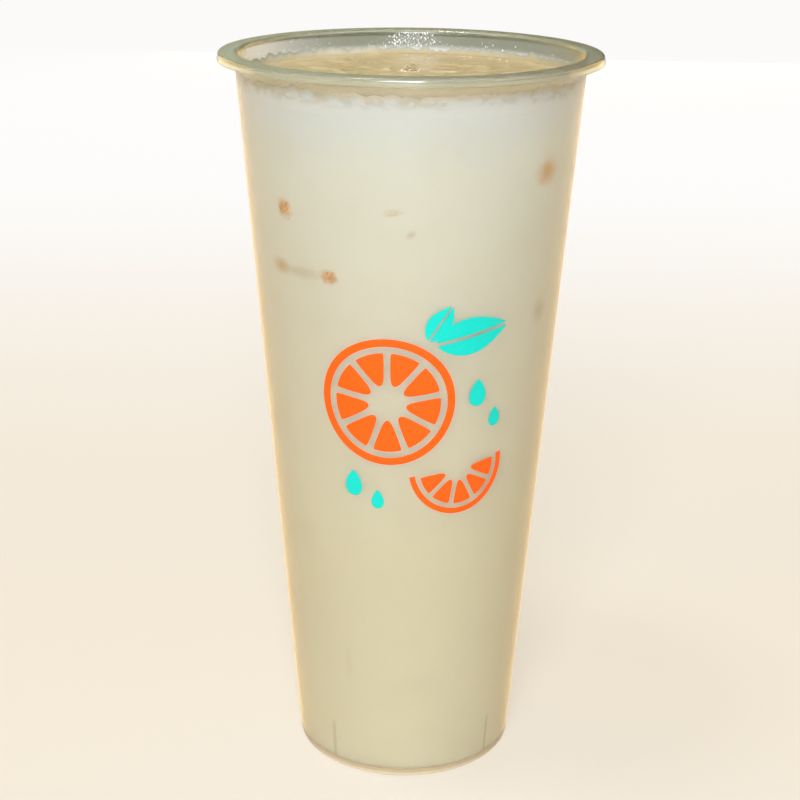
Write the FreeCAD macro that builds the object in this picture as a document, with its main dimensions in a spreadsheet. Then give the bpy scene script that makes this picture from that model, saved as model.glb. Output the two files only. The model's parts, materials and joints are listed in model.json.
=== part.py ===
"""Fruit refresher: a milky fruit drink with a cap of froth in a tall cup.

The cup is one thin polypropylene moulding: a tapered wall, a floor raised on a foot ring, a flat
rim that turns down into a short skirt, and four ribs inside that keep nested cups apart. The
drink fills it to just under the rim. The froth lies on the drink in low ripples and climbs the
wall a little.

The frame has +Z up, with the origin at the middle of the foot ring's underside. The side that
faces the drinker, where a printed sign goes, is towards -Y. All sizes are in millimetres.
"""

import FreeCAD, Part
import Sketcher
import math
import os

SIZES = {
    # The cup.
    "height": 177.0,  # from the foot ring to the rim
    "body_radius": 41.0,  # outside of the wall, where its line meets the rim's plane
    "foot_radius": 27.0,  # outside of the wall, where its line meets the table
    "wall": 1.0,
    "lip_width": 4.0,  # how far the rim stands out from the wall's line
    "lip_thickness": 1.0,
    "lip_drop": 2.0,  # from the rim to the lower edge of its skirt
    "lip_skirt": 0.9,  # the skirt's thickness
    "lip_round": 1.0,  # upper outer edge of the rim
    "skirt_round": 0.4,  # lower outer edge of the skirt
    "mouth_round": 0.6,  # inner edge of the rim
    "foot_round": 1.5,  # outer edge of the foot ring
    "foot_ring": 2.6,  # the ring's width, in from the wall's line
    "foot_recess": 1.2,  # hollow under the floor
    "floor_thickness": 1.1,
    "floor_round": 1.2,  # where the wall meets the floor
    "gate_radius": 1.6,  # the stub that the moulding leaves under the floor
    "gate_height": 0.4,
    # The ribs that keep nested cups apart.
    "rib_count": 4.0,
    "rib_turn": 50.0,  # degrees from +X to the first rib
    "rib_height": 10.0,
    "rib_depth": 0.9,  # how far a rib stands in from the wall
    "rib_width": 0.8,
    # The drink and its froth.
    "headspace": 6.0,  # from the rim down to the froth
    "froth_thickness": 3.0,
    "froth_climb": 1.2,  # how high the froth clings to the wall
    "froth_reach": 1.8,  # how far from the wall the froth begins to rise
    "froth_edge": 0.2,  # thickness of its upper edge
    "ripple_height": 0.3,
    "ripple_length": 13.0,
    "ripple_step": 4.0,  # spacing of the points that carry the ripples
}

doc = FreeCAD.newDocument("fruit_refresher")
sheet = doc.addObject("Spreadsheet::Sheet", "sizes")


# ---------------------------------------------------------------- sheet and expressions


def fill_sheet():
    """Writes the driving sizes, one row each: the name in column A, the number in column B."""
    for row, (name, number) in enumerate(SIZES.items(), start=1):
        sheet.set(f"A{row}", name)
        sheet.set(f"B{row}", str(number))
        sheet.setAlias(f"B{row}", name)
    doc.recompute()


def size(name):
    """The number that the sheet holds under a name."""
    return float(sheet.get(name))


def bind(feature, **expressions):
    """Ties properties to expressions; a double underscore in a name stands for a dot."""
    for name, expression in expressions.items():
        feature.setExpression(name.replace("__", "."), expression)


RIM_RADIUS = "(sizes.body_radius + sizes.lip_width)"
RIM = "sizes.height"
LIP_UNDERSIDE = "(sizes.height - sizes.lip_thickness)"
SKIRT_EDGE = "(sizes.height - sizes.lip_drop)"
UNDERSIDE = "sizes.foot_recess"
FLOOR = "(sizes.foot_recess + sizes.floor_thickness)"
INSIDE_FLOOR = "(sizes.foot_recess + sizes.floor_thickness / 2)"
FOOT_INSIDE = "(sizes.foot_radius - sizes.foot_ring)"
LEVEL = "(sizes.height - sizes.headspace)"
FROTH_BASE = "(sizes.height - sizes.headspace - sizes.froth_thickness)"


def outside_at(z):
    """Radius of the wall's outer face at a height."""
    return f"(sizes.foot_radius + (sizes.body_radius - sizes.foot_radius) * {z} / sizes.height)"


def inside_at(z):
    """Radius of the wall's inner face at a height."""
    return f"({outside_at(z)} - sizes.wall)"


def middle_at(z):
    """Radius half-way through the wall at a height."""
    return f"({outside_at(z)} - sizes.wall / 2)"


# ---------------------------------------------------------------- sketches and features


def new_body(name):
    """A PartDesign body whose label is its name."""
    body = doc.addObject("PartDesign::Body", name)
    body.Label = name
    return body


def polygon(count):
    """A regular polygon clear of both axes, for the constraints to pull into shape."""
    turns = [2 * math.pi * i / count for i in range(count)]
    return [FreeCAD.Vector(2 + math.cos(turn), 2 + math.sin(turn), 0) for turn in turns]


def upright_sketch(body, name, corners, turn="0"):
    """A closed outline of straight runs, on a plane through Z at an angle from +X.

    Corners maps each corner's name to two expressions, its distance from the axis and its
    height, and each of these drives a constraint.
    """
    sketch = body.newObject("Sketcher::SketchObject", name)
    plane = next(o for o in body.Origin.OriginFeatures if o.Role == "XZ_Plane")
    sketch.AttachmentSupport = (plane, [""])
    sketch.MapMode = "FlatFace"
    about_z = FreeCAD.Rotation(FreeCAD.Vector(0, 1, 0), 1)
    sketch.AttachmentOffset = FreeCAD.Placement(FreeCAD.Vector(), about_z)
    bind(sketch, AttachmentOffset__Rotation__Angle=f"{turn} * 1 deg")
    places = polygon(len(corners))
    for i, start in enumerate(places):
        sketch.addGeometry(Part.LineSegment(start, places[(i + 1) % len(places)]), False)
    for i in range(len(places)):
        sketch.addConstraint(Sketcher.Constraint("Coincident", i, 2, (i + 1) % len(places), 1))
    for i, (corner, (distance, height)) in enumerate(corners.items()):
        place_point(sketch, i, "DistanceX", f"{corner}_distance", distance)
        place_point(sketch, i, "DistanceY", f"{corner}_height", height)
    doc.recompute()
    return sketch


def place_point(sketch, line, kind, name, expression):
    """Sets one coordinate of a line's start by an expression, or puts it on the axis if 0."""
    if expression == "0":
        axis = -2 if kind == "DistanceX" else -1
        sketch.addConstraint(Sketcher.Constraint("PointOnObject", line, 1, axis))
        return
    index = sketch.addConstraint(Sketcher.Constraint(kind, -1, 1, line, 1, 1.0))
    sketch.renameConstraint(index, name)
    sketch.setExpression(f"Constraints.{name}", expression)


def revolve(body, name, sketch):
    """A full turn of a sketch about Z, added to the body."""
    feature = body.newObject("PartDesign::Revolution", name)
    feature.Profile = sketch
    feature.ReferenceAxis = (sketch, ["V_Axis"])
    feature.Angle = 360
    doc.recompute()
    return feature


def ring_edges(shape, radius, z):
    """Names of the circular edges about Z that have this radius and height."""
    tolerance = 1e-4
    found = []
    for number, edge in enumerate(shape.Edges, start=1):
        if not isinstance(edge.Curve, Part.Circle):
            continue
        middle = edge.Curve.Center
        off_axis = math.hypot(middle.x, middle.y)
        misfit = max(abs(edge.Curve.Radius - radius), abs(middle.z - z), off_axis)
        if misfit < tolerance:
            found.append(f"Edge{number}")
    return found


def round_corner(body, name, base, point, radius):
    """A fillet on the ring that a corner of the revolved outline makes."""
    fillet = body.newObject("PartDesign::Fillet", name)
    fillet.Base = (base, ring_edges(base.Shape, point.x, point.y))
    bind(fillet, Radius=f"sizes.{radius}")
    doc.recompute()
    return fillet


# ---------------------------------------------------------------- the cup


CUP_SECTION = {
    "ring_inner": (FOOT_INSIDE, "0"),
    "foot": ("sizes.foot_radius", "0"),
    "under_lip": (outside_at(LIP_UNDERSIDE), LIP_UNDERSIDE),
    "skirt_top": (f"({RIM_RADIUS} - sizes.lip_skirt)", LIP_UNDERSIDE),
    "skirt_inner": (f"({RIM_RADIUS} - sizes.lip_skirt)", SKIRT_EDGE),
    "skirt_outer": (RIM_RADIUS, SKIRT_EDGE),
    "lip": (RIM_RADIUS, RIM),
    "mouth": (inside_at(RIM), RIM),
    "floor_edge": (inside_at(FLOOR), FLOOR),
    "floor_middle": ("0", FLOOR),
    "underside_middle": ("0", UNDERSIDE),
    "recess_edge": (FOOT_INSIDE, UNDERSIDE),
}

CUP_ROUNDINGS = {
    "foot": "foot_round",
    "lip": "lip_round",
    "skirt_outer": "skirt_round",
    "mouth": "mouth_round",
    "floor_edge": "floor_round",
}


def make_cup():
    """The whole cup, one moulding: shell, roundings, gate stub and ribs."""
    body = new_body("cup")
    section = upright_sketch(body, "cup_section", CUP_SECTION)
    step = revolve(body, "cup_shell", section)
    for corner, radius in CUP_ROUNDINGS.items():
        point = section.getPoint(list(CUP_SECTION).index(corner), 1)
        step = round_corner(body, f"{corner}_rounding", step, point, radius)
    add_gate(body)
    add_ribs(body)
    return body


def add_gate(body):
    """The low round stub in the middle of the underside, where the moulding was filled."""
    bottom = "(sizes.foot_recess - sizes.gate_height)"
    corners = {
        "bottom_middle": ("0", bottom),
        "bottom_edge": ("sizes.gate_radius", bottom),
        "root_edge": ("sizes.gate_radius", INSIDE_FLOOR),
        "root_middle": ("0", INSIDE_FLOOR),
    }
    revolve(body, "gate", upright_sketch(body, "gate_section", corners))


def add_ribs(body):
    """The ribs: one upright fin with a sloping top, rooted in wall and floor, and its copies."""
    top = f"({FLOOR} + sizes.rib_height)"
    shoulder = f"({top} - sizes.rib_depth)"
    face = f"({inside_at(FLOOR)} - sizes.rib_depth)"
    corners = {
        "root_inner": (face, INSIDE_FLOOR),
        "root_outer": (middle_at(INSIDE_FLOOR), INSIDE_FLOOR),
        "top_outer": (middle_at(top), top),
        "top_inner": (inside_at(top), top),
        "shoulder": (face, shoulder),
    }
    sketch = upright_sketch(body, "rib_side", corners, turn="sizes.rib_turn")
    fin = body.newObject("PartDesign::Pad", "rib")
    fin.Profile = sketch
    fin.Midplane = True
    bind(fin, Length="sizes.rib_width")
    doc.recompute()
    ribs = body.newObject("PartDesign::PolarPattern", "ribs")
    ribs.Originals = [fin]
    ribs.Axis = (sketch, ["V_Axis"])
    ribs.Angle = 360
    bind(ribs, Occurrences="sizes.rib_count")
    body.Tip = ribs
    doc.recompute()


# ---------------------------------------------------------------- the drink and the froth


def make_plug(name, bottom, top):
    """A cone between two heights that ends half-way through the wall."""
    plug = doc.addObject("Part::Cone", name)
    bind(
        plug,
        Radius1=middle_at(bottom),
        Radius2=middle_at(top),
        Height=f"{top} - {bottom}",
        Placement__Base__z=bottom,
    )
    return plug


def cut_to_cup(name, base, cup):
    """A piece with the cup taken away, so that it ends on the cup's own faces."""
    cut = doc.addObject("Part::Cut", name)
    cut.Label = name
    cut.Base = base
    cut.Tool = cup
    return cut


def make_drink(cup):
    """The drink, from the floor up to the froth."""
    return cut_to_cup("drink", make_plug("drink_plug", INSIDE_FLOOR, FROTH_BASE), cup)


def ripple(x, y, length):
    """Height of the froth's slow ripples at a place, from -1 to 1: two crossing waves."""
    wave = 2 * math.pi / length
    patches = math.sin(wave * (x + 0.35 * y)) * math.cos(wave * (0.7 * y - 0.14 * x))
    swell = math.sin(wave * (0.55 * y + 0.33 * x) + 1.1)
    return 0.6 * patches + 0.4 * swell


def make_froth_bed():
    """The froth's bulk, a block with a rippled top that reaches past the wall all round."""
    half = size("body_radius") + size("ripple_step")
    intervals = math.ceil(2 * half / size("ripple_step"))
    ticks = [2 * half * i / intervals - half for i in range(intervals + 1)]
    level = size("height") - size("headspace")
    rise = size("ripple_height")
    length = size("ripple_length")
    rows = [
        [FreeCAD.Vector(x, y, level + rise * ripple(x, y, length)) for y in ticks]
        for x in ticks
    ]
    top = Part.BSplineSurface()
    top.interpolate(rows)
    past_base = size("froth_thickness") + 2 * rise
    bed = doc.addObject("Part::Feature", "froth_bed")
    bed.Shape = top.toShape().extrude(FreeCAD.Vector(0, 0, -past_base))
    return bed


def make_froth_edge():
    """The ring of froth that climbs the wall and thins towards its top."""
    top = f"({LEVEL} + sizes.froth_climb)"
    bottom = f"({LEVEL} - sizes.froth_thickness / 2)"
    bend = f"({LEVEL} + sizes.froth_climb / 3)"
    start = f"({inside_at(LEVEL)} - sizes.froth_reach)"
    corners = {
        "bottom_inner": (start, bottom),
        "bottom_outer": (middle_at(bottom), bottom),
        "top_outer": (middle_at(top), top),
        "top_inner": (f"({inside_at(top)} - sizes.froth_edge)", top),
        "bend": (f"({inside_at(bend)} - sizes.froth_reach / 3)", bend),
        "start": (start, f"({LEVEL} - sizes.ripple_height)"),
    }
    body = new_body("froth_edge")
    revolve(body, "froth_edge_ring", upright_sketch(body, "froth_edge_section", corners))
    return body


def make_froth(cup):
    """The froth: bulk and climbing edge in one, trimmed flat below and by the cup."""
    lump = doc.addObject("Part::Fuse", "froth_lump")
    lump.Base = make_froth_bed()
    lump.Tool = make_froth_edge()
    disc = doc.addObject("Part::Common", "froth_disc")
    disc.Base = lump
    disc.Tool = make_plug("froth_plug", FROTH_BASE, RIM)
    return cut_to_cup("froth", disc, cup)


# ---------------------------------------------------------------- build and write


def check(parts):
    """Stops if any object failed, or if a part isn't one valid solid."""
    for item in doc.Objects:
        if {"Invalid", "Error"} & set(item.State):
            raise RuntimeError(f"{item.Name} failed: {item.State}")
    for part in parts:
        shape = part.Shape
        if shape.isNull() or not shape.isValid() or len(shape.Solids) != 1:
            raise RuntimeError(f"{part.Label} is not one valid solid")
        print(f"{part.Label}: {shape.Volume / 1000:.2f} ml, top at {shape.BoundBox.ZMax:.2f} mm")


def write(parts):
    """One STEP file for each part, named by its label."""
    os.makedirs("parts", exist_ok=True)
    for part in parts:
        part.Shape.exportStep(os.path.join("parts", f"{part.Label}.step"))


def main():
    """Builds the cup, the drink and the froth, checks them and writes them."""
    fill_sheet()
    cup = make_cup()
    parts = [cup, make_drink(cup), make_froth(cup)]
    doc.recompute()
    check(parts)
    write(parts)


main()
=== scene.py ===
"""Looks of a fruit refresher: a creamy fruit drink with froth, in a frosted takeaway cup.

The cup, the drink and the froth stand in for the solids of the same names. The cup is turned
from the same profile as its solid. The drink and the froth reach a little way into its wall, so
that no gap shows between them. Geometry Nodes ripple the froth and strew the drops, the small
bubbles and the flecks; the large bubble and the bits of fruit are built point by point. The
print is made of thin inked shapes that follow the wall.

The object stands on Z = 0 with its axis on Z, and its printed side faces -Y. Lengths are in
metres; sizes that are written in millimetres are multiplied by MM.
"""

from __future__ import annotations

import json
import logging
import math
from dataclasses import dataclass, field
from enum import Enum
from typing import Any, Callable, Iterable, Sequence

import bpy
from mathutils import Matrix, Vector, noise

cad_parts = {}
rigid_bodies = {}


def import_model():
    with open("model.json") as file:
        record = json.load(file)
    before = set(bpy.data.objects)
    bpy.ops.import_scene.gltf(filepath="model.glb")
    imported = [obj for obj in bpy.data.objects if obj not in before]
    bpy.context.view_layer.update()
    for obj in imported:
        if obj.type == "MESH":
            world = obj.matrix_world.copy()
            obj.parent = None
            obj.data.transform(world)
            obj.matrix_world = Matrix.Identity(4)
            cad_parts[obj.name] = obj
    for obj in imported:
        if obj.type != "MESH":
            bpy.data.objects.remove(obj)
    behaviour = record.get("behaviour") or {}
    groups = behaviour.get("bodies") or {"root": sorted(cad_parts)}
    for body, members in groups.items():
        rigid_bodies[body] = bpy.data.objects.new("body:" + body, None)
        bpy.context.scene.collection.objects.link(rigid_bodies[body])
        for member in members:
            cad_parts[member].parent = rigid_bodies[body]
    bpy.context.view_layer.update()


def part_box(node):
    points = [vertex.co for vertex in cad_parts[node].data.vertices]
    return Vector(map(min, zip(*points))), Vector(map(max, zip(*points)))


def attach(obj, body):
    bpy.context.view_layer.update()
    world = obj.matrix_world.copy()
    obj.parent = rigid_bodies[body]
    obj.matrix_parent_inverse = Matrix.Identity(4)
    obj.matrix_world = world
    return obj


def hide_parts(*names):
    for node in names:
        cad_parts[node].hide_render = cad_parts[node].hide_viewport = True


MM = 0.001
TURN = 2 * math.pi
UP = Vector((0.0, 0.0, 1.0))
HOLD_SHARE = 0.3
LONGEST_HOLD = 0.1 * MM

Colour = tuple[float, float, float, float]
Spot = tuple[float, float]
Spot3 = tuple[float, float, float]
Profile = list[Spot]
Outline = list[Spot]
Faces = list[tuple[int, ...]]
MeshParts = tuple[list[Vector], Faces]

log = logging.getLogger("refresher")


# ---------------------------------------------------------------- small helpers


def tone(red: int, green: int, blue: int) -> Colour:
    """Give the linear colour of a display colour.

    Args:
        red: Red from 0 to 255.
        green: Green from 0 to 255.
        blue: Blue from 0 to 255.

    Returns:
        The linear colour, with an alpha of 1.
    """
    parts = [part / 255 for part in (red, green, blue)]
    line = [p / 12.92 if p <= 0.04045 else ((p + 0.055) / 1.055) ** 2.4 for p in parts]
    return (line[0], line[1], line[2], 1.0)


def ease(low: float, high: float, value: float) -> float:
    """Give a smooth step from 0 at low to 1 at high."""
    part = min(max((value - low) / (high - low), 0.0), 1.0)
    return part * part * (3 - 2 * part)


def around(radius: float, turn: float, z: float) -> Vector:
    """Give the point at a radius and height whose angle from -Y, towards +X, is turn."""
    return Vector((radius * math.sin(turn), -radius * math.cos(turn), z))


def turned(radius: float, angle: float, z: float) -> Vector:
    """Give the point at a radius, an angle from +X and a height."""
    return Vector((radius * math.cos(angle), radius * math.sin(angle), z))


def carry(mesh: bpy.types.Mesh, name: str, values: Sequence[float]) -> None:
    """Give a mesh a number for each of its points."""
    mesh.attributes.new(name, "FLOAT", "POINT").data.foreach_set("value", values)


def clear_scene() -> None:
    """Remove whatever the new file holds."""
    for item in list(bpy.data.objects):
        bpy.data.objects.remove(item)


def link(item: bpy.types.Object) -> None:
    """Put an object in the scene."""
    bpy.context.scene.collection.objects.link(item)


def new_piece(name: str, mesh: bpy.types.Mesh) -> bpy.types.Object:
    """Link a new object for a mesh.

    Args:
        name: The piece's name.
        mesh: Its mesh, with its place in it.

    Returns:
        The object, at the origin and smooth shaded.
    """
    mesh.shade_smooth()
    piece = bpy.data.objects.new(name, mesh)
    link(piece)
    return piece


def new_mesh(name: str, points: Sequence[Vector], faces: Faces) -> bpy.types.Mesh:
    """Make a mesh.

    Args:
        name: Its name.
        points: Its points.
        faces: Its faces.

    Returns:
        The mesh.
    """
    mesh = bpy.data.meshes.new(name)
    mesh.from_pydata(points, [], faces)
    mesh.validate()
    return mesh


def joined(parts: Iterable[MeshParts]) -> MeshParts:
    """Put the points and faces of several meshes together.

    Args:
        parts: The points and faces of each.

    Returns:
        All the points and all the faces, in order.
    """
    points: list[Vector] = []
    faces: Faces = []
    for part_points, part_faces in parts:
        start = len(points)
        points += part_points
        faces += [tuple(index + start for index in face) for face in part_faces]
    return points, faces


def ring_faces(rows: int, count: int) -> Faces:
    """Give the faces of a closed mesh of rings between two poles.

    Args:
        rows: The number of rings.
        count: The points in each. The first pole comes after them all, and then the last one.

    Returns:
        The faces, which point outwards where the rings run counter-clockwise seen from the
        last pole.
    """
    first, last = rows * count, rows * count + 1
    top = (rows - 1) * count
    faces: Faces = []
    for j in range(count):
        k = (j + 1) % count
        faces.append((first, k, j))
        for i in range(rows - 1):
            here, above = i * count, (i + 1) * count
            faces.append((here + j, here + k, above + k, above + j))
        faces.append((last, top + j, top + k))
    return faces


def skin(
    name: str, rows: Sequence[Sequence[Vector]], first: Vector, last: Vector
) -> bpy.types.Mesh:
    """Build a closed mesh of rings between two poles.

    Args:
        name: The mesh's name.
        rows: Rings of equally many points, each counter-clockwise seen from above.
        first: The pole before the first ring, under it.
        last: The pole after the last ring.

    Returns:
        The mesh, whose faces point outwards.
    """
    points = [point for row in rows for point in row]
    return new_mesh(name, [*points, first, last], ring_faces(len(rows), len(rows[0])))


def round_profile(
    corners: Sequence[Spot3], step: float, longest: float
) -> Profile:
    """Round the corners of a profile and divide its long runs.

    Each rounding has a short straight run at either end, so that the flats beside it shade flat.

    Args:
        corners: Radius, height and rounding of each corner, in order.
        step: The most that one facet of a rounding turns, in radians.
        longest: The longest run left undivided.

    Returns:
        The points of the finer profile.
    """
    spots = [Vector((radius, z)) for radius, z, _ in corners]
    points: list[Vector] = [spots[0]]
    for before, spot, after, corner in zip(spots, spots[1:], spots[2:], corners[1:]):
        rounding = corner[2]
        if not rounding:
            points.append(spot)
            continue
        back, ahead = (before - spot).normalized(), (after - spot).normalized()
        half = back.angle(ahead) / 2
        reach = rounding / math.tan(half)
        hold = min(rounding * HOLD_SHARE, LONGEST_HOLD)
        centre = spot + (back + ahead).normalized() * rounding / math.sin(half)
        start, end = spot + back * reach - centre, spot + ahead * reach - centre
        first = math.atan2(start.y, start.x)
        sweep = (math.atan2(end.y, end.x) - first + math.pi) % TURN - math.pi
        facets = max(2, math.ceil(abs(sweep) / step))
        points.append(spot + back * (reach + hold))
        for i in range(facets + 1):
            angle = first + sweep * i / facets
            points.append(centre + Vector((math.cos(angle), math.sin(angle))) * rounding)
        points.append(spot + ahead * (reach + hold))
    points.append(spots[-1])
    finer: Profile = []
    for here, there in zip(points, points[1:]):
        pieces = max(1, math.ceil((there - here).length / longest))
        finer += [tuple(here.lerp(there, i / pieces)) for i in range(pieces)]
    finer.append(tuple(points[-1]))
    return finer


# ---------------------------------------------------------------- node helpers


class Nodes:
    """A node tree that is filled in one node at a time."""

    def __init__(self, tree: Any) -> None:
        """Take the tree to fill."""
        self.tree = tree

    def node(self, kind: str, inputs: dict[Any, Any] | None = None, **settings: Any) -> Any:
        """Add a node.

        Args:
            kind: The node's type.
            inputs: Values or sockets for its inputs, by name or number.
            **settings: Its properties.

        Returns:
            The new node.
        """
        node = self.tree.nodes.new(kind)
        for name, value in settings.items():
            setattr(node, name, value)
        for key, value in (inputs or {}).items():
            if isinstance(value, bpy.types.NodeSocket):
                self.tree.links.new(value, node.inputs[key])
            else:
                node.inputs[key].default_value = value
        return node

    def maths(self, operation: str, *values: Any) -> Any:
        """Give the result of a maths operation on sockets or numbers."""
        inputs = dict(enumerate(values))
        return self.node("ShaderNodeMath", inputs, operation=operation).outputs[0]

    def measure(self, operation: str, *vectors: Any) -> Any:
        """Give the length of a vector, or the distance between two."""
        inputs = dict(enumerate(vectors))
        return self.node("ShaderNodeVectorMath", inputs, operation=operation).outputs["Value"]

    def scaled(self, vector: Any, scale: Spot3) -> Any:
        """Give a vector with each part multiplied by its own number."""
        inputs = {0: vector, 1: scale}
        return self.node("ShaderNodeVectorMath", inputs, operation="MULTIPLY").outputs[0]


class Recipe(Nodes):
    """A material's node tree."""

    def __init__(self, name: str, tree: Any = None) -> None:
        """Start an empty tree.

        Args:
            name: The material's name.
            tree: The tree to empty and fill instead of a new material's.
        """
        if tree is None:
            self.material = bpy.data.materials.new(name)
            self.material.use_nodes = True
            tree = self.material.node_tree
        super().__init__(tree)
        self.tree.nodes.clear()

    def place(self) -> Any:
        """Give the object coordinates."""
        return self.node("ShaderNodeTexCoord").outputs["Object"]

    def split(self, vector: Any) -> Any:
        """Give the node that splits a vector into X, Y and Z."""
        return self.node("ShaderNodeSeparateXYZ", {0: vector})

    def attribute(self, name: str) -> Any:
        """Give the number that the mesh carries for each point."""
        return self.node("ShaderNodeAttribute", attribute_name=name).outputs["Fac"]

    def spread(self, value: Any, low: float, high: float) -> Any:
        """Give a smooth step of a socket.

        Args:
            value: The socket.
            low: Its value where the step is 0.
            high: Its value where the step is 1.

        Returns:
            The step's socket.
        """
        inputs = {"Value": value, "From Min": low, "From Max": high}
        step = self.node("ShaderNodeMapRange", inputs, interpolation_type="SMOOTHSTEP")
        return step.outputs["Result"]

    def grain(self, place: Any, scale: float, detail: float = 3.0, warp: float = 0.0) -> Any:
        """Give noise between 0 and 1.

        Args:
            place: The coordinates' socket.
            scale: Features per metre.
            detail: Octaves.
            warp: Distortion.

        Returns:
            The noise's socket.
        """
        inputs = {"Vector": place, "Scale": scale, "Detail": detail, "Distortion": warp}
        return self.node("ShaderNodeTexNoise", inputs).outputs[0]

    def ramp(self, value: Any, stops: Sequence[tuple[float, Colour]]) -> Any:
        """Give the colour of a value on a ramp.

        Args:
            value: The value's socket.
            stops: Places from 0 to 1 and their colours, in order.

        Returns:
            The colour's socket.
        """
        node = self.node("ShaderNodeValToRGB", {0: value})
        elements = node.color_ramp.elements
        while len(elements) < len(stops):
            elements.new(0.5)
        for element, (position, colour) in zip(elements, stops):
            element.position = position
            element.color = colour
        return node.outputs["Color"]

    def blend(self, part: Any, first: Any, second: Any) -> Any:
        """Give first where part is 0 and second where it is 1."""
        inputs = {"Factor": part, 6: first, 7: second}
        return self.node("ShaderNodeMix", inputs, data_type="RGBA").outputs[2]

    def bump(self, height: Any, distance: float, strength: float = 1.0) -> Any:
        """Give a normal bumped by a height, in units of distance."""
        inputs = {"Height": height, "Distance": distance, "Strength": strength}
        return self.node("ShaderNodeBump", inputs).outputs["Normal"]

    def finish(self, inputs: dict[str, Any]) -> bpy.types.Material:
        """End the tree in a Principled shader.

        Args:
            inputs: Values or sockets for the shader's inputs.

        Returns:
            The material.
        """
        shader = self.node("ShaderNodeBsdfPrincipled", inputs)
        self.node("ShaderNodeOutputMaterial", {"Surface": shader.outputs["BSDF"]})
        return self.material


# ---------------------------------------------------------------- finishes


@dataclass(frozen=True)
class FrostedPlastic:
    """Translucent polypropylene, from hazy and satin to nearly clear and glossy; higher up it may
    take a painted upper tone, greyed by painted shade towards the back.
    """

    name: str
    colour: Colour
    clearness: float
    gloss: float
    frost: float
    upper_painted_tone: Colour | None = None
    painted_shade_colour: Colour | None = None
    painted_shade_from: float = -20.0 * MM
    painted_shade_to: float = 34.0 * MM
    sheen: float = 0.0
    sheen_spread: float = 0.3
    sheen_colour: Colour = tone(255, 202, 94)
    index: float = 1.49

    def material(self, low: float, high: float) -> bpy.types.Material:
        """Make the material.

        Args:
            low: The height up to which it has its own colour.
            high: The height from which it has its painted upper tone, if it has one.

        Returns:
            The material.
        """
        recipe = Recipe(self.name)
        place = recipe.place()
        drift = recipe.grain(place, 90.0, 4.0)
        frost = recipe.grain(place, 2600.0, 2.0)
        base: Any = self.colour
        # Higher up the plastic takes an upper tone: painted light that lifts the rim's shadow on
        # the wall, and painted shade along the floor line on the foot. Within it, painted shade
        # greys the back, more on the right.
        if self.upper_painted_tone:
            axes = recipe.split(place).outputs
            upper: Any = self.upper_painted_tone
            if self.painted_shade_colour:
                rightwards = recipe.maths("MULTIPLY_ADD", axes["X"], 0.5, axes["Y"])
                painted_shade_part = recipe.spread(rightwards, self.painted_shade_from, self.painted_shade_to)
                upper = recipe.blend(painted_shade_part, upper, self.painted_shade_colour)
            base = recipe.blend(recipe.spread(axes["Z"], low, high), base, upper)
        return recipe.finish(
            {
                "Base Color": base,
                "Roughness": recipe.maths("MULTIPLY_ADD", drift, self.gloss / 4, self.gloss),
                "IOR": self.index,
                "Transmission Weight": self.clearness,
                "Sheen Weight": self.sheen,
                "Sheen Roughness": self.sheen_spread,
                "Sheen Tint": self.sheen_colour,
                "Normal": recipe.bump(frost, 0.01 * MM, self.frost),
            }
        )


# Above the drink the wall turns paler, partly its own look with no drink behind it and partly
# painted light lifting the rim's shadow; towards the back, more on the right, that tone greys as
# painted shade.
WALL_PLASTIC = FrostedPlastic(
    name="frosted_plastic",
    colour=tone(230, 232, 224),
    clearness=0.9,
    gloss=0.2,
    frost=0.18,
    upper_painted_tone=tone(247, 245, 236),
    painted_shade_colour=tone(158, 161, 144),
    sheen=0.42,
)
RIM_PLASTIC = FrostedPlastic(
    name="rim_plastic", colour=tone(219, 221, 202), clearness=0.8, gloss=0.12, frost=0.0
)
# The foot is pale at the bottom, a painted glow for the light the drink sends into the ring, and
# darker towards its top, painted shade along the line where the drink's floor meets it.
FOOT_PLASTIC = FrostedPlastic(
    name="foot_plastic",
    colour=tone(252, 240, 208),
    clearness=0.4,
    gloss=0.2,
    frost=0.2,
    upper_painted_tone=tone(200, 184, 148),
)


@dataclass(frozen=True)
class Stain:
    """A soft patch where a bit of fruit shades the drink: place and sizes on the wall.

    The angle from -Y and the tilt are in degrees, and lengths are in millimetres.
    """

    turn: float
    z: float
    wide: float
    high: float
    tilt: float
    strength: float
    colour: Colour
    deep: float = 4.0


ORANGE_STAIN = tone(210, 156, 40)
BROWN_STAIN = tone(188, 154, 92)
STAINS = (
    Stain(-47.5, 145.4, 6.0, 6.0, 0, 0.6, ORANGE_STAIN),
    Stain(-5.7, 147.1, 5.6, 2.2, 8, 0.45, ORANGE_STAIN),
    Stain(0.4, 142.3, 3.6, 2.2, 30, 0.4, BROWN_STAIN),
    Stain(-29.2, 131.6, 5.6, 4.2, -15, 0.6, ORANGE_STAIN),
    # This wide faint band joins the two low bits: painted shadow along the line between them.
    Stain(-41.0, 131.2, 18.0, 4.2, 0, 0.35, BROWN_STAIN),
    Stain(-51.6, 131.4, 7.6, 5.0, 0, 0.75, ORANGE_STAIN),
    Stain(52.0, 153.8, 9.6, 8.0, 5, 0.9, tone(232, 172, 70)),
    Stain(56.0, 120.5, 7.0, 8.0, 5, 0.35, BROWN_STAIN),
    Stain(-28.3, 31.4, 2.4, 12.0, 0, 0.12, BROWN_STAIN),
)


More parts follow.
